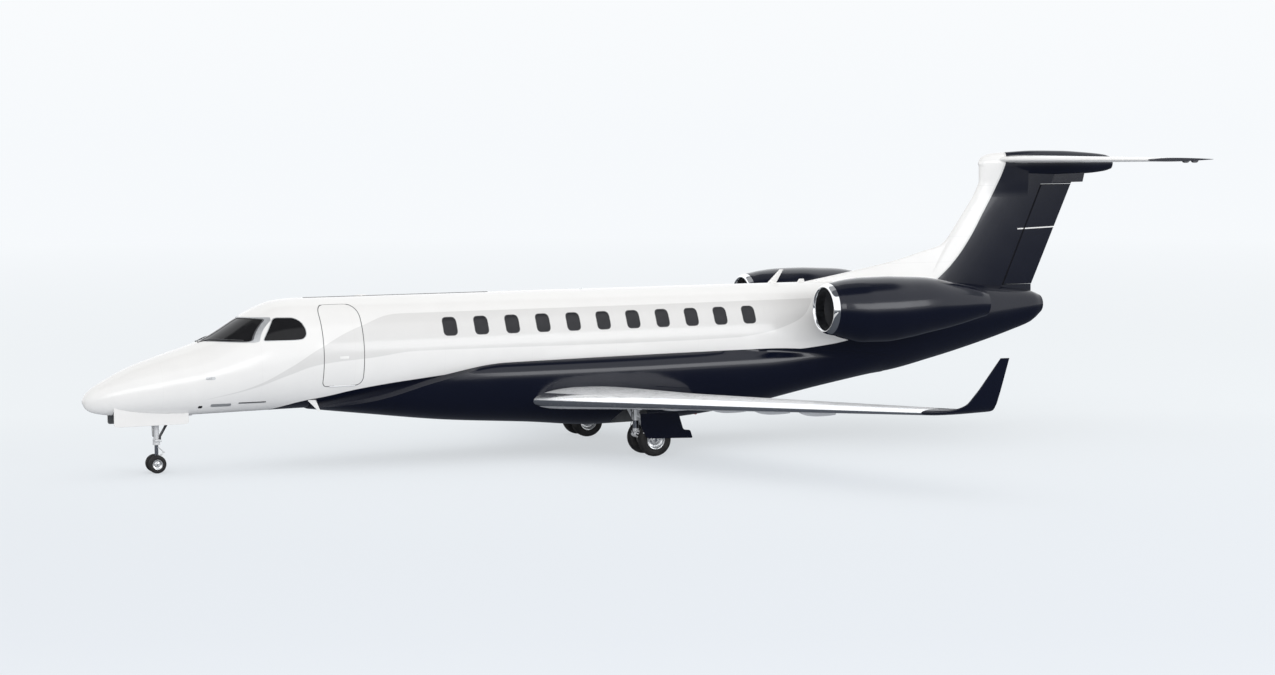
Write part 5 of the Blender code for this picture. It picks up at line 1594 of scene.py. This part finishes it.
def build_nacelle(side, name):
    y = side * ENGINE_Y
    xs = spread(COWL[0][0], COWL[-1][0], 0.07)
    outer = [oval(x, y, cowl_height(x), cowl_radius(x), cowl_radius(x), ROUND) for x in xs]
    inner = [oval(x, y, ENGINE_Z, duct_radius(x), duct_radius(x), ROUND) for x in xs]
    cowl = tube("nacelle_body_" + name, outer, inner, NAVY_PAINT)

    def inside(centre):
        return from_axis(centre, y) < duct_radius(centre.x) + DUCT_MARGIN

    repainted(cowl, INLET_LINER, lambda centre, normal: centre.x < LINER_END and inside(centre))
    repainted(cowl, EXHAUST_METAL, lambda centre, normal: centre.x >= LINER_END and inside(centre))
    repainted(cowl, FRAME_METAL, lambda centre, normal: centre.x > BARE_COWL_X and not inside(centre))
    show(cowl, "airframe", "navy_composite", "nacelle_" + name)
    lip = turned("lip_skin_" + name, through(LIP), (0, y, ENGINE_Z), (1, 0, 0), LIP_CHROME, ROUND, True)
    x, radius = BARE_LIP
    repainted(lip, NAVY_PAINT, lambda centre, normal: centre.x > x and from_axis(centre, y) > radius)
    show(lip, "airframe", "inlet_chrome", "inlet_lip_" + name)


def blade(y, turn, x, rows, paint):
    """A twisted blade through rows of radius, half chord, twist in degrees, half thickness and camber."""
    hub = Vector((x, y, ENGINE_Z))
    spin = Matrix.Rotation(turn, 4, "X")
    line = [(u, 1) for u in (-1.0, -0.7, -0.2, 0.4, 1.0)] + [(u, -1) for u in (0.4, -0.2, -0.7)]
    rings = []
    for radius, half, twist, thick, camber in rows:
        a = math.radians(twist)
        ring = []
        for share, sign in line:
            full = 1 - share * share
            u, v = share * half, camber * half * full + sign * thick * full**0.5
            point = (u * math.cos(a) - v * math.sin(a), u * math.sin(a) + v * math.cos(a), radius)
            ring.append(tuple(hub + spin @ Vector(point)))
        rings.append(ring)
    return loft("blade", rings, paint)


def blades(count, y, x, rows, paint):
    """Like blades all round an engine's axis."""
    return [blade(y, turn, x, rows, paint) for turn in around(count)]


def build_fan(side, name):
    y = side * ENGINE_Y
    rows = []
    for t in spread(0.0, 1.0, 0.125):
        rows.append((0.11 + 0.36 * t, 0.048 + 0.020 * t, 24 + 36 * t, 0.0050 - 0.0028 * t, 0.16 - 0.10 * t))
    made = blades(FAN_BLADES, y, BLADE_X, rows, BLADE_METAL)
    nose = turned("spinner", through(SPINNER) + [(4.44, 0.0)], (0, y, ENGINE_Z), (1, 0, 0), SPINNER_METAL)
    show(gather("fan_blades_" + name, nose, *made), "fan_" + name, "engine_metal", "fan_" + name)


def build_core(side, name):
    y = side * ENGINE_Y
    profile = [(CORE[0][0], 0.0)] + through(CORE) + [(7.455, 0.0)]
    core = turned("core", profile, (0, y, ENGINE_Z), (1, 0, 0), EXHAUST_METAL)
    twists = ((0.20, 8), (0.34, 6), (duct_radius(STATOR_X) + 0.004, 4))
    rows = [(radius, 0.045, twist, 0.004, 0.2) for radius, twist in twists]
    vanes = blades(STATOR_VANES, y, STATOR_X, rows, DARK_STEEL)
    rows = [(radius, 0.15, 0, 0.012, 0.0) for radius in (0.30, duct_radius(DUCT_STRUT_X) + 0.004)]
    struts = blades(DUCT_STRUTS, y, DUCT_STRUT_X, rows, GEAR_PAINT)
    show(gather("engine_core_" + name, core, *vanes, *struts), "airframe", "engine_metal", "engine_" + name)


def build_pylon(side, name):
    half = curve(PYLON)
    rings = []
    for x in crowded(*PYLON_X, 48, 1.4):
        inner = half_breadth(x, PYLON_Z) - 0.03
        outer = ENGINE_Y - (cowl_radius(x) + duct_radius(x)) / 2
        tall = half(x)
        edge = [(inner, tall + 0.02), (inner + 0.05, tall), (outer - 0.05, tall), (outer, tall + 0.015)]
        ring = edge + [(y, -z) for y, z in edge[::-1]]
        rings.append([(x, side * y, PYLON_Z + z) for y, z in ring])
    show(loft("pylon_skin_" + name, rings, NAVY_PAINT, 50), "airframe", "navy_composite", "pylon_" + name)


# Wheels: shapes as shares of half width and radius, and a groove in metres
SIDEWALL = [(0.97, 0.66), (1.0, 0.78), (0.93, 0.90), (0.76, 0.963)]
GROOVE = [(0.004, 0.0), (0.0025, 0.006), (-0.0025, 0.006), (-0.004, 0.0)]
HUB = [
    (0.74, 0.0), (0.74, 0.24), (0.68, 0.30), (0.34, 0.38), (0.26, 0.46), (0.26, 0.76), (0.34, 0.86),
    (0.74, 0.93), (0.84, 0.97), (0.86, 1.03), (0.80, 1.06), (0.70, 1.0), (-0.70, 1.0), (-0.80, 1.06),
    (-0.86, 1.03), (-0.80, 0.95), (-0.28, 0.88), (-0.28, 0.0),
]


def tyre_profile(radius, half, hub, grooves):
    """A closed outline of beads, bulging sidewalls and a crowned tread, as (along axle, radius)."""

    def tread_radius(d):
        return radius * (1 - 0.034 * (d / (0.72 * half)) ** 2)

    side = through([(0.78 * half, hub)] + [(d * half, radius * r) for d, r in SIDEWALL], 3)
    tread = []
    for share in grooves:
        d = share * half
        tread += [(d + by, tread_radius(d) - deep) for by, deep in GROOVE]
    right = sorted(tread, reverse=True)
    left = [(-d, r) for d, r in right[::-1]]
    return side + right + [(0.0, radius)] + left + [(-d, r) for d, r in side[::-1]]


def hub_profile(half, hub):
    """An outline from the axle out over the hub's face and round to its back."""
    return [(d * half, r * hub) for d, r in HUB]


def wheel_pair(name, centre, tyre, twin, hub, axle, grooves, bolts, body):
    """Two like wheels, this far either way from the middle of their axle."""
    x, y, z = centre
    radius, half = tyre[0], tyre[1] / 2
    rubber, metal = [], [rod("axle", (x, y - twin, z), (x, y + twin, z), axle, STRUT_CHROME, 32)]
    for side in (-1, 1):
        middle, axis = (x, y + side * twin, z), (0, side, 0)
        profile = tyre_profile(radius, half, hub, grooves)
        rubber.append(turned("tyre", profile, middle, axis, TYRE_RUBBER, 80, True, BLADE_SHARP))
        metal.append(turned("hub", hub_profile(half, hub), middle, axis, HUB_METAL, 64))
        face, ring = y + side * (twin + 0.25 * half), 0.61 * hub
        for k in range(bolts):
            a = 2 * math.pi * (k + 0.5) / bolts
            bx, bz = x + ring * math.cos(a), z + ring * math.sin(a)
            foot, head = (bx, face - side * 0.002, bz), (bx, face + side * 0.008, bz)
            metal.append(rod("bolt", foot, head, 0.05 * hub, STRUT_CHROME, 6, 0.001))
        cap = y + side * (twin + 0.74 * half)
        foot, head = (x, cap - side * 0.004, z), (x, cap + side * 0.010, z)
        metal.append(rod("cap", foot, head, 0.16 * hub, STRUT_CHROME, 24, 0.003))
    show(gather(name + "_tyres", *rubber), body, "tyres", body)
    show(gather(name + "_hubs", *metal), body, "tyres")


# Landing gear
NOSE_LEG_X = NOSE_GEAR_X + 0.02
NOSE_TURN_Z = 0.60
NOSE_TOP_Z = 1.7197
NOSE_BAY_WALL = 0.3297
NOSE_BRACE = (-11.10, 1.50)
NOSE_LAMP = [(0.0, 0.0), (0.0, 0.045), (-0.012, 0.055), (-0.03, 0.055), (-0.07, 0.03), (-0.075, 0.0)]
NOSE_LAMP_Z = 1.02
NOSE_DOOR_X = (-12.57, -10.97)
NOSE_DOOR_Y = (0.335, 0.36)
NOSE_DOOR_Z = 1.06
AXLE_Z = MAIN_TYRE[0]
KNEE_Z = 0.50
PLATE_Y = 2.43
GEAR_PLATE = [
    (-1.29, 1.00), (-0.37, 1.00), (-0.24, 0.587), (-0.07, 0.566), (-0.01, 0.385), (-1.13, 0.432),
    (-1.28, 0.711),
]


def plate(name, outline, y, half, paint, edge=0.004):
    """A flat panel with softened edges, upright along X."""
    rings = []
    for d, by in ((-half, -edge), (-half + edge, 0.0), (half - edge, 0.0), (half, -edge)):
        rings.append([(x, y + d, z) for x, z in grown(outline, by)])
    return loft(name, rings, paint, 35)


def torque_link(x, high, low, reach, wide, paint):
    """Two forked arms that meet at a knee behind a leg."""
    knee = (high + low) / 2
    parts = []
    for z in (high, low):
        parts.append(rod("pivot", (x, -wide, z), (x, wide, z), 0.014, paint, 16, 0.002))
        for side in (-1, 1):
            foot, head = (x, side * wide * 0.9, z), (x + reach, side * 0.012, knee)
            parts.append(rod("arm", foot, head, 0.011, paint, 14, 0.002))
    parts.append(rod("knee", (x + reach, -0.028, knee), (x + reach, 0.028, knee), 0.015, paint, 16, 0.002))
    return parts


def build_nose_strut():
    x, low, wall = NOSE_LEG_X, NOSE_TURN_Z, NOSE_BAY_WALL
    brace_x, brace_z = NOSE_BRACE
    leg = [
        rod("strut", (x, 0, NOSE_TOP_Z), (x, 0, low + 0.02), 0.058, GEAR_PAINT, 40),
        rod("collar", (x, 0, low + 0.13), (x, 0, low + 0.002), 0.075, GEAR_PAINT, 40),
        rod("collar_ring", (x, 0, low + 0.33), (x, 0, low + 0.28), 0.068, GEAR_PAINT, 40),
        rod("gland", (x, 0, low + 0.018), (x, 0, low + 0.001), 0.062, DARK_STEEL, 40, 0.002),
        rod("trunnion", (x, -wall, 1.52), (x, wall, 1.52), 0.04, GEAR_PAINT, 28),
        rod("brace", (x + 0.03, 0, low + 0.10), (brace_x, 0, brace_z), 0.028, DARK_STEEL, 24),
        rod("brace_knob", (x + 0.075, 0, low + 0.17), (x + 0.055, 0, low + 0.13), 0.042, DARK_STEEL, 24),
        rod("brace_pin", (brace_x, -wall, brace_z), (brace_x, wall, brace_z), 0.028, DARK_STEEL, 24),
    ]
    for y in (0.07, -0.07):
        leg.append(rod("lock_rod", (x, y, 1.20), (-11.32, y, 1.47), 0.012, DARK_STEEL, 14, 0.002))
    for side in (-1, 1):
        line = [(x - 0.06, side * 0.045, 1.30), (x - 0.075, side * 0.05, 1.0), (x - 0.07, side * 0.04, 0.78)]
        leg.append(pipe("hose", line, 0.006, DARK_STEEL))
    for side in (-1, 1):
        y = side * 0.095
        leg.append(rod("steering_jack", (x - 0.05, y, 0.70), (x + 0.09, y, 0.70), 0.028, GEAR_PAINT, 24))
    z = NOSE_LAMP_Z
    leg.append(turned("lamp_body", NOSE_LAMP, (x - 0.085, 0, z), (-1, 0, 0), GEAR_PAINT, 36))
    leg.append(rod("lamp_lens", (x - 0.083, 0, z), (x - 0.091, 0, z), 0.043, CLEAR_LENS, 36, 0.002))
    leg.append(rod("lamp_arm", (x, 0, z), (x - 0.03, 0, z), 0.016, GEAR_PAINT, 16))
    show(gather("nose_strut", *leg), "airframe", "gear_metal", "nose_leg")


def build_nose_fork():
    x, z = NOSE_LEG_X, NOSE_TYRE[0]
    fork = [
        rod("piston", (x, 0, NOSE_TURN_Z - SEAM), (x, 0, z + 0.065), 0.040, STRUT_CHROME, 40),
        rod("boss", (NOSE_GEAR_X, -0.055, z), (NOSE_GEAR_X, 0.055, z), 0.052, GEAR_PAINT, 32),
        block("neck", (x - 0.045, -0.045, z), (x + 0.045, 0.045, z + 0.115), GEAR_PAINT, 0.012),
        rod("foot_ring", (x, 0, z + 0.13), (x, 0, z + 0.10), 0.052, GEAR_PAINT, 36),
        block("tow_lug", (x - 0.13, -0.03, 0.22), (x - 0.03, 0.03, 0.29), GEAR_PAINT, 0.006),
        *torque_link(x + 0.04, 0.55, 0.32, 0.12, 0.05, GEAR_PAINT),
    ]
    show(gather("nose_fork", *fork), "nose_steering", "gear_metal", "nose_steering")
    centre = (NOSE_GEAR_X, 0, z)
    wheel_pair("nose", centre, NOSE_TYRE, NOSE_TWIN, 0.105, 0.025, (0.42, 0.14), 8, "nose_wheels")


def build_nose_doors():
    (front, rear), (inner, outer), low = NOSE_DOOR_X, NOSE_DOOR_Y, NOSE_DOOR_Z
    upper = []
    for x in spread(rear, front, -0.1):
        wide, middle, tall = half_sizes(x, low)
        upper.append((x, middle - tall * math.sqrt(1 - (outer / wide) ** 2) - 0.001))
    ends = softened([(front, low), (rear, low), (rear, 1.3), (front, 1.3)], [0.06, 0.06, 0.01, 0.01])[:16]
    outline = ends + [point for point in upper if point[1] > low]
    for side, name in SIDES:
        y, half = side * (inner + outer) / 2, (outer - inner) / 2
        panel = plate("nose_door_panel_" + name, outline, y, half, WHITE_PAINT)
        # Painted shade: the inner face is painted dark for the shade that falls on it.
        repainted(panel, DARK_WELL_AND_DOOR_SHADE, lambda centre, normal, side=side: normal.y * side < -0.9)
        arms = []
        for x in (-12.3, -11.3):
            foot, head = (x, side * 0.338, 1.20), (x, side * 0.30, 1.34)
            arms.append(rod("arm", foot, head, 0.012, GEAR_PAINT, 14, 0.002))
        door = gather("nose_door_" + name, panel, *arms)
        show(door, "airframe", "white_composite", "nose_gear_door_" + name)


def brakes(y):
    """The brake discs and axle sleeves between a main leg and its wheels."""
    x, z = MAIN_GEAR_X, AXLE_Z
    parts = []
    for side in (-1, 1):
        for k in range(4):
            near = 0.112 + 0.020 * k
            far = near + 0.014
            ring = [(near, 0.06), (near, 0.158), (far, 0.158), (far, 0.06)]
            parts.append(turned("disc", ring, (x, y, z), (0, side, 0), DARK_STEEL, 48, True))
        parts.append(rod("sleeve", (x, y + side * 0.098, z), (x, y + side * 0.192, z), 0.066, GEAR_PAINT, 40))
    return parts


def main_hose(y, way):
    """A hose from the wing down one side of a main leg to the brakes."""
    line = [
        (STRUT_X - 0.07, y + way * 0.04, 1.10), (STRUT_X - 0.09, y + way * 0.05, 0.8),
        (STRUT_X - 0.08, y + way * 0.06, 0.50), (-1.0, y + way * 0.08, 0.36),
        (MAIN_GEAR_X - 0.07, y + way * 0.12, 0.36),
    ]
    return pipe("hose", line, 0.008, DARK_STEEL)


def build_main_gear(side, name):
    y, brace_y = side * MAIN_GEAR_Y, side * 1.45
    x, axle_x, knee = STRUT_X, MAIN_GEAR_X, KNEE_Z
    leg = [
        rod("strut", (x, y, GEAR_SLOT[4] - SEAM), (x, y, knee), 0.070, GEAR_PAINT, 48),
        rod("collar", (x, y, 1.04), (x, y, 0.98), 0.084, GEAR_PAINT, 48),
        rod("sleeve", (x, y, 0.80), (x, y, 0.62), 0.074, STRUT_CHROME, 48),
        rod("knee", (x, y - 0.09, knee), (x, y + 0.09, knee), 0.085, GEAR_PAINT, 48),
        rod("knee_cap", (x, y + side * 0.10, knee), (x, y + side * 0.088, knee), 0.045, STRUT_CHROME, 32),
        rod("arm", (x, y, knee), (axle_x, y, AXLE_Z), 0.060, GEAR_PAINT, 40),
        rod("boss", (axle_x, y - 0.10, AXLE_Z), (axle_x, y + 0.10, AXLE_Z), 0.085, GEAR_PAINT, 48),
        rod("damper", (axle_x - 0.08, y, AXLE_Z + 0.06), (-1.07, y, 0.72), 0.034, STRUT_CHROME, 36),
        rod("damper_case", (-1.06, y, 0.70), (x + 0.02, y, 0.98), 0.047, GEAR_PAINT, 36),
        rod("side_brace", (x, y, 0.72), (x, brace_y, 1.08), 0.032, GEAR_PAINT, 28),
        rod("brace_end", (x - 0.04, brace_y, 1.08), (x + 0.04, brace_y, 1.08), 0.040, GEAR_PAINT, 28),
        main_hose(y, side), main_hose(y, -side), *brakes(y),
    ]
    show(gather("main_strut_" + name, *leg), "airframe", "gear_metal", "main_leg_" + name)
    centre = (axle_x, y, AXLE_Z)
    wheel_pair(
        "main_" + name, centre, MAIN_TYRE, MAIN_TWIN, 0.205, 0.045, (0.50, 0.18), 12, "main_wheels_" + name,
    )
    plate_y = side * PLATE_Y
    outline = softened(GEAR_PLATE, [0.05, 0.05, 0.05, 0.04, 0.04, 0.06, 0.08])
    panel = plate("gear_panel_" + name, outline, plate_y, 0.013, NAVY_PAINT)
    arm = rod("arm", (x, plate_y, 0.90), (x, y + side * 0.0703, 0.90), 0.022, GEAR_PAINT, 24)
    lower = rod("lower_arm", (x + 0.02, plate_y, 0.56), (x, y + side * 0.095, knee), 0.016, GEAR_PAINT, 20)
    low, high = sorted((plate_y - side * 0.011, plate_y - side * 0.04))
    rib = block("rib", (-1.20, low, 0.88), (-0.42, high, 0.92), GEAR_PAINT, 0.004)
    door = gather("gear_door_" + name, panel, arm, lower, rib)
    show(door, "airframe", "navy_composite", "main_gear_door_" + name)


# Small fittings
PROBE_X = -10.613
PROBE_Z = 2.074
PATCHES = [
    (PROBE_X, PROBE_Z, (0.20, 0.06), FRAME_METAL, 0.47), (-10.344, 1.462, (0.44, 0.07), FRAME_METAL, 0.47),
    (-9.67, 1.500, (0.60, 0.016), DARK_STEEL, 0.4), (-9.67, 1.482, (0.60, 0.018), FRAME_METAL, 0.4),
    (-10.779, 1.436, (0.09, 0.06), DARK_STEEL, 0.47),
]
ROOF_STRIP = [(-0.035, -0.01), (0.035, -0.01), (0.030, 0.006), (-0.030, 0.006)]
ROOF_BUMP = [(-0.17, 0.0), (-0.12, 0.024), (0.0, 0.032), (0.10, 0.024), (0.17, 0.0)]
TAIL_LAMP = [(0.0, 0.05), (0.02, 0.045), (0.035, 0.02), (0.037, 0.0)]
WIPER_ARM = ((0.12, 2.80), (0.30, 2.856), (0.50, 2.868), (0.68, 2.866))
WIPER_BLADE = ((0.30, 2.848), (0.56, 2.862), (0.84, 2.852))


def blade_antenna(base, tip, height, foot_z, y=0.0, down=False):
    """A blade that stands on the skin: X spans of its base and its tip, and its height."""
    sign = -1 if down else 1
    rings = []
    for (front, rear), z in ((base, foot_z - sign * 0.02), (base, foot_z), (tip, foot_z + sign * height)):
        rings.append(blade_ring((front, y, z), rear - front, 0.14, (0, 1, 0), count=12))
    return loft("antenna", rings, WHITE_PAINT, BLADE_SHARP)


def dome(x, z, radius, tall, paint, down=False):
    """A round cap on the middle line."""
    rise = [(tall * math.sin(a), radius * math.cos(a)) for a in arc(0.0, math.pi / 2, 8)[1:-1]]
    profile = [(-0.01, 0.0), (-0.01, radius), (0.0, radius), *rise, (tall, 0.0)]
    return turned("dome", profile, (x, 0, z), (0, 0, -1 if down else 1), paint, 32)


def probe(x, y, z, side):
    """An air data probe: a short mast out of the skin and a tube that points ahead."""
    rear, tip_y = x + 0.02, y + side * 0.05
    return [
        rod("foot", (rear, y - side * 0.02, z), (rear, y + side * 0.008, z), 0.03, FRAME_METAL, 24, 0.002),
        rod("mast", (rear, y, z), (x, tip_y, z), 0.010, FRAME_METAL, 14, 0.001),
        rod("tube", (rear, tip_y, z), (x - 0.10, tip_y, z), 0.008, FRAME_METAL, 14, 0.001, 0.006),
    ]


def patch(side, x, z, size, paint, corner):
    """A small plate that lies on the side skin, with its corners rounded by a share of its smaller side."""
    wide, tall = size
    reach = min(wide, tall) * corner
    outline = rounded((x - wide / 2, x + wide / 2), (z - tall / 2, z + tall / 2), reach, reach)
    made = shell("patch", x - wide / 2 - 0.05, x + wide / 2 + 0.05, paint, 0.0012, -0.01)
    return keep(made, side_prism([outline], side, paint, 0.1))


def wiper(side):
    """A wiper that rests along the foot of the windshield."""

    def above_glass(points, proud):
        return [(nose_x(side * y, z) - proud, side * y, z) for y, z in points]

    x, y = nose_x(side * 0.10, 2.79), side * 0.10
    return [
        rod("pivot", (x + 0.01, y, 2.785), (x - 0.03, y, 2.80), 0.014, DARK_STEEL, 16),
        pipe("arm", above_glass(WIPER_ARM, 0.022), 0.008, DARK_STEEL),
        pipe("blade", above_glass(WIPER_BLADE, 0.012), 0.007, SEAL_RUBBER),
    ]


def build_fittings():
    white = [
        blade_antenna((3.10, 3.34), (3.43, 3.53), 0.31, 3.655),
        blade_antenna((3.90, 4.10), (3.95, 4.08), 0.07, 3.655),
        blade_antenna((-8.46, -8.26), (-8.20, -8.15), 0.27, 1.50, -0.70, True),
    ]
    show(gather("antennas", *white), "airframe", "white_composite")
    rings = [[(x, y, crown(x) + up) for y, up in ROOF_STRIP] for x in spread(-8.30, -4.0, 0.1)]
    strip = loft("strip", rings, DARK_STEEL)
    bump = turned("bump", ROOF_BUMP, (-6.97, 0, 3.668), (1, 0, 0), WHITE_PAINT, 32)
    show(gather("roof_strip", strip, bump), "airframe", "gear_metal")
    lamps = [
        dome(-1.70, 3.659, 0.05, 0.035, CLEAR_LENS),
        dome(1.20, fairing_keel(1.20) + 0.004, 0.055, 0.07, RED_LENS, True),
        turned("tail_lamp", TAIL_LAMP, (12.826, 0, 6.41), (1, 0, 0), CLEAR_LENS, 32),
    ]
    show(gather("beacons", *lamps), "airframe", "glazing")
    small = []
    for side, _ in SIDES:
        small += probe(PROBE_X, side * half_breadth(PROBE_X, PROBE_Z), PROBE_Z, side)
        small += [patch(side, *row) for row in PATCHES]
        small += wiper(side)
    show(gather("probes_and_wipers", *small), "airframe", "gear_metal")


def build_inside():
    """Paint for the plain pieces that show through the open door."""
    for node_name, paint in (("cabin_floor", CARPET), ("cockpit_bulkhead", TRIM)):
        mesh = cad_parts[node_name].data
        mesh.materials.clear()
        mesh.materials.append(paint)


build_nose()
build_cockpit()
build_forward_cabin()
build_cabin()
build_rear()
build_fairing()
for side, name in SIDES:
    build_wing(side, name)
    build_winglet(side, name)
    build_tailplane(side, name)
    build_nacelle(side, name)
    build_fan(side, name)
    build_core(side, name)
    build_pylon(side, name)
    build_main_gear(side, name)
build_fin()
build_nose_strut()
build_nose_fork()
build_nose_doors()
build_fittings()
build_inside()


# Studio
FLOOR_COLOUR = (0.33, 0.345, 0.36)
FLOOR_GLOW = (0.565, 0.585, 0.597)
NEAR_GLOW = (0.453, 0.475, 0.507)
VIEW_ALONG = (0.402, 0.916, 0.0)
BOUNCED_GLOW = (0.30, 0.31, 0.33)
MIRRORED_FLOOR = (0.05, 0.055, 0.065)
SKY_LOW = (0.925, 0.950, 0.975)
SKY_HIGH = (0.975, 0.985, 0.992)
SKY_LIGHT = (0.80, 0.80, 0.80)
MIRRORED_BAND = (1.25, 1.27, 1.30)
MIRRORED_TOP = (0.12, 0.125, 0.14)


def make_floor_paint():
    """A pale matt floor that fades into the sky far away, and is dark in what mirrors it nearby."""
    made, tree, shader = material("studio_floor")
    where = rest_point(tree)
    distance = node(tree, "ShaderNodeVectorMath", {0: where}, operation="LENGTH").outputs["Value"]
    both = {0: where, 1: VIEW_ALONG}
    along_view = node(tree, "ShaderNodeVectorMath", both, operation="DOT_PRODUCT").outputs["Value"]
    path = node(tree, "ShaderNodeLightPath").outputs
    mirrored = path["Is Glossy Ray"]
    clouded = tuple(1.02 * c for c in FLOOR_COLOUR)
    colour = blend_colours(tree, noise(tree, 0.05, 2.0), FLOOR_COLOUR, clouded)
    colour = blend_colours(tree, mirrored, colour, MIRRORED_FLOOR)
    seen = blend_colours(tree, ramp(tree, along_view, -22.0, 6.0), NEAR_GLOW, FLOOR_GLOW)
    glow = blend_colours(tree, path["Is Camera Ray"], BOUNCED_GLOW, seen)
    glow = blend_colours(tree, mirrored, glow, MIRRORED_FLOOR)
    far = ramp(tree, distance, 15.0, 110.0)
    put(tree, shader, Base_Color=blend_colours(tree, far, colour, (0.0, 0.0, 0.0)), Roughness=0.9,
        Specular_IOR_Level=0.0, Emission_Color=blend_colours(tree, far, glow, SKY_LOW), Emission_Strength=1.0)
    return made


def build_floor():
    bm = bmesh.new()
    bmesh.ops.create_grid(bm, x_segments=4, y_segments=4, size=400.0)
    floor = finish("studio_floor", bm, make_floor_paint())
    floor.location.z = -0.002


def build_sky():
    """A pale even sky to see and to light the aircraft, mirrored as a bright band above the floor."""
    world = bpy.data.worlds.new("studio_sky")
    bpy.context.scene.world = world
    world.use_nodes = True
    tree = world.node_tree
    direction = node(tree, "ShaderNodeTexCoord").outputs["Generated"]
    up = node(tree, "ShaderNodeSeparateXYZ", {"Vector": direction}).outputs["Z"]
    path = node(tree, "ShaderNodeLightPath").outputs
    seen = blend_colours(tree, ramp(tree, up, 0.0, 0.12), SKY_LOW, SKY_HIGH)
    band = blend_colours(tree, ramp(tree, up, 0.82, 0.86), MIRRORED_BAND, MIRRORED_TOP)
    light = blend_colours(tree, path["Is Glossy Ray"], SKY_LIGHT, band)
    shown = blend_colours(tree, path["Is Camera Ray"], light, seen)
    tree.links.new(shown, tree.nodes["Background"].inputs["Color"])


def build_lamp(name, location, target, size, power, colour=(1.0, 1.0, 1.0)):
    lamp = bpy.data.lights.new(name, "AREA")
    lamp.shape = "RECTANGLE"
    lamp.size, lamp.size_y = size
    lamp.energy = power
    lamp.color = colour
    obj = placed(name, lamp)
    obj.location = location
    obj.rotation_euler = (Vector(target) - Vector(location)).to_track_quat("-Z", "Y").to_euler()


CAMERA_PLACE = (-22.917, -51.534, 7.277)
CAMERA_TURN = (23.7098, 4.8747, -0.2945)
LENS = 68.395


def build_camera():
    """The photo's view: turned to the right of straight across, a little down, and all but level."""
    yaw, pitch, roll = (math.radians(a) for a in CAMERA_TURN)
    forward = Vector((math.sin(yaw) * math.cos(pitch), math.cos(yaw) * math.cos(pitch), -math.sin(pitch)))
    level = Vector((math.cos(yaw), -math.sin(yaw), 0.0))
    top = level.cross(forward)
    right = level * math.cos(roll) + top * math.sin(roll)
    up = top * math.cos(roll) - level * math.sin(roll)
    camera = bpy.data.cameras.new("camera")
    camera.lens = LENS
    camera.sensor_width = 36.0
    camera.clip_end = 1500.0
    obj = placed("camera", camera)
    turn = Matrix((right, up, -forward)).transposed().to_4x4()
    obj.matrix_world = Matrix.Translation(CAMERA_PLACE) @ turn
    bpy.context.scene.camera = obj


build_floor()
build_sky()
build_lamp("key", (-26.0, -42.0, 13.0), (-3.0, 0.0, 2.5), (30.0, 14.0), 4200.0)
build_lamp("fill", (24.0, -46.0, 15.0), (3.0, 0.0, 2.5), (36.0, 16.0), 7000.0, (0.97, 0.98, 1.0))
build_lamp("overhead", (0.0, 6.0, 30.0), (0.0, 0.0, 2.0), (36.0, 16.0), 500.0)
build_camera()
bpy.context.scene.view_settings.view_transform = "Standard"
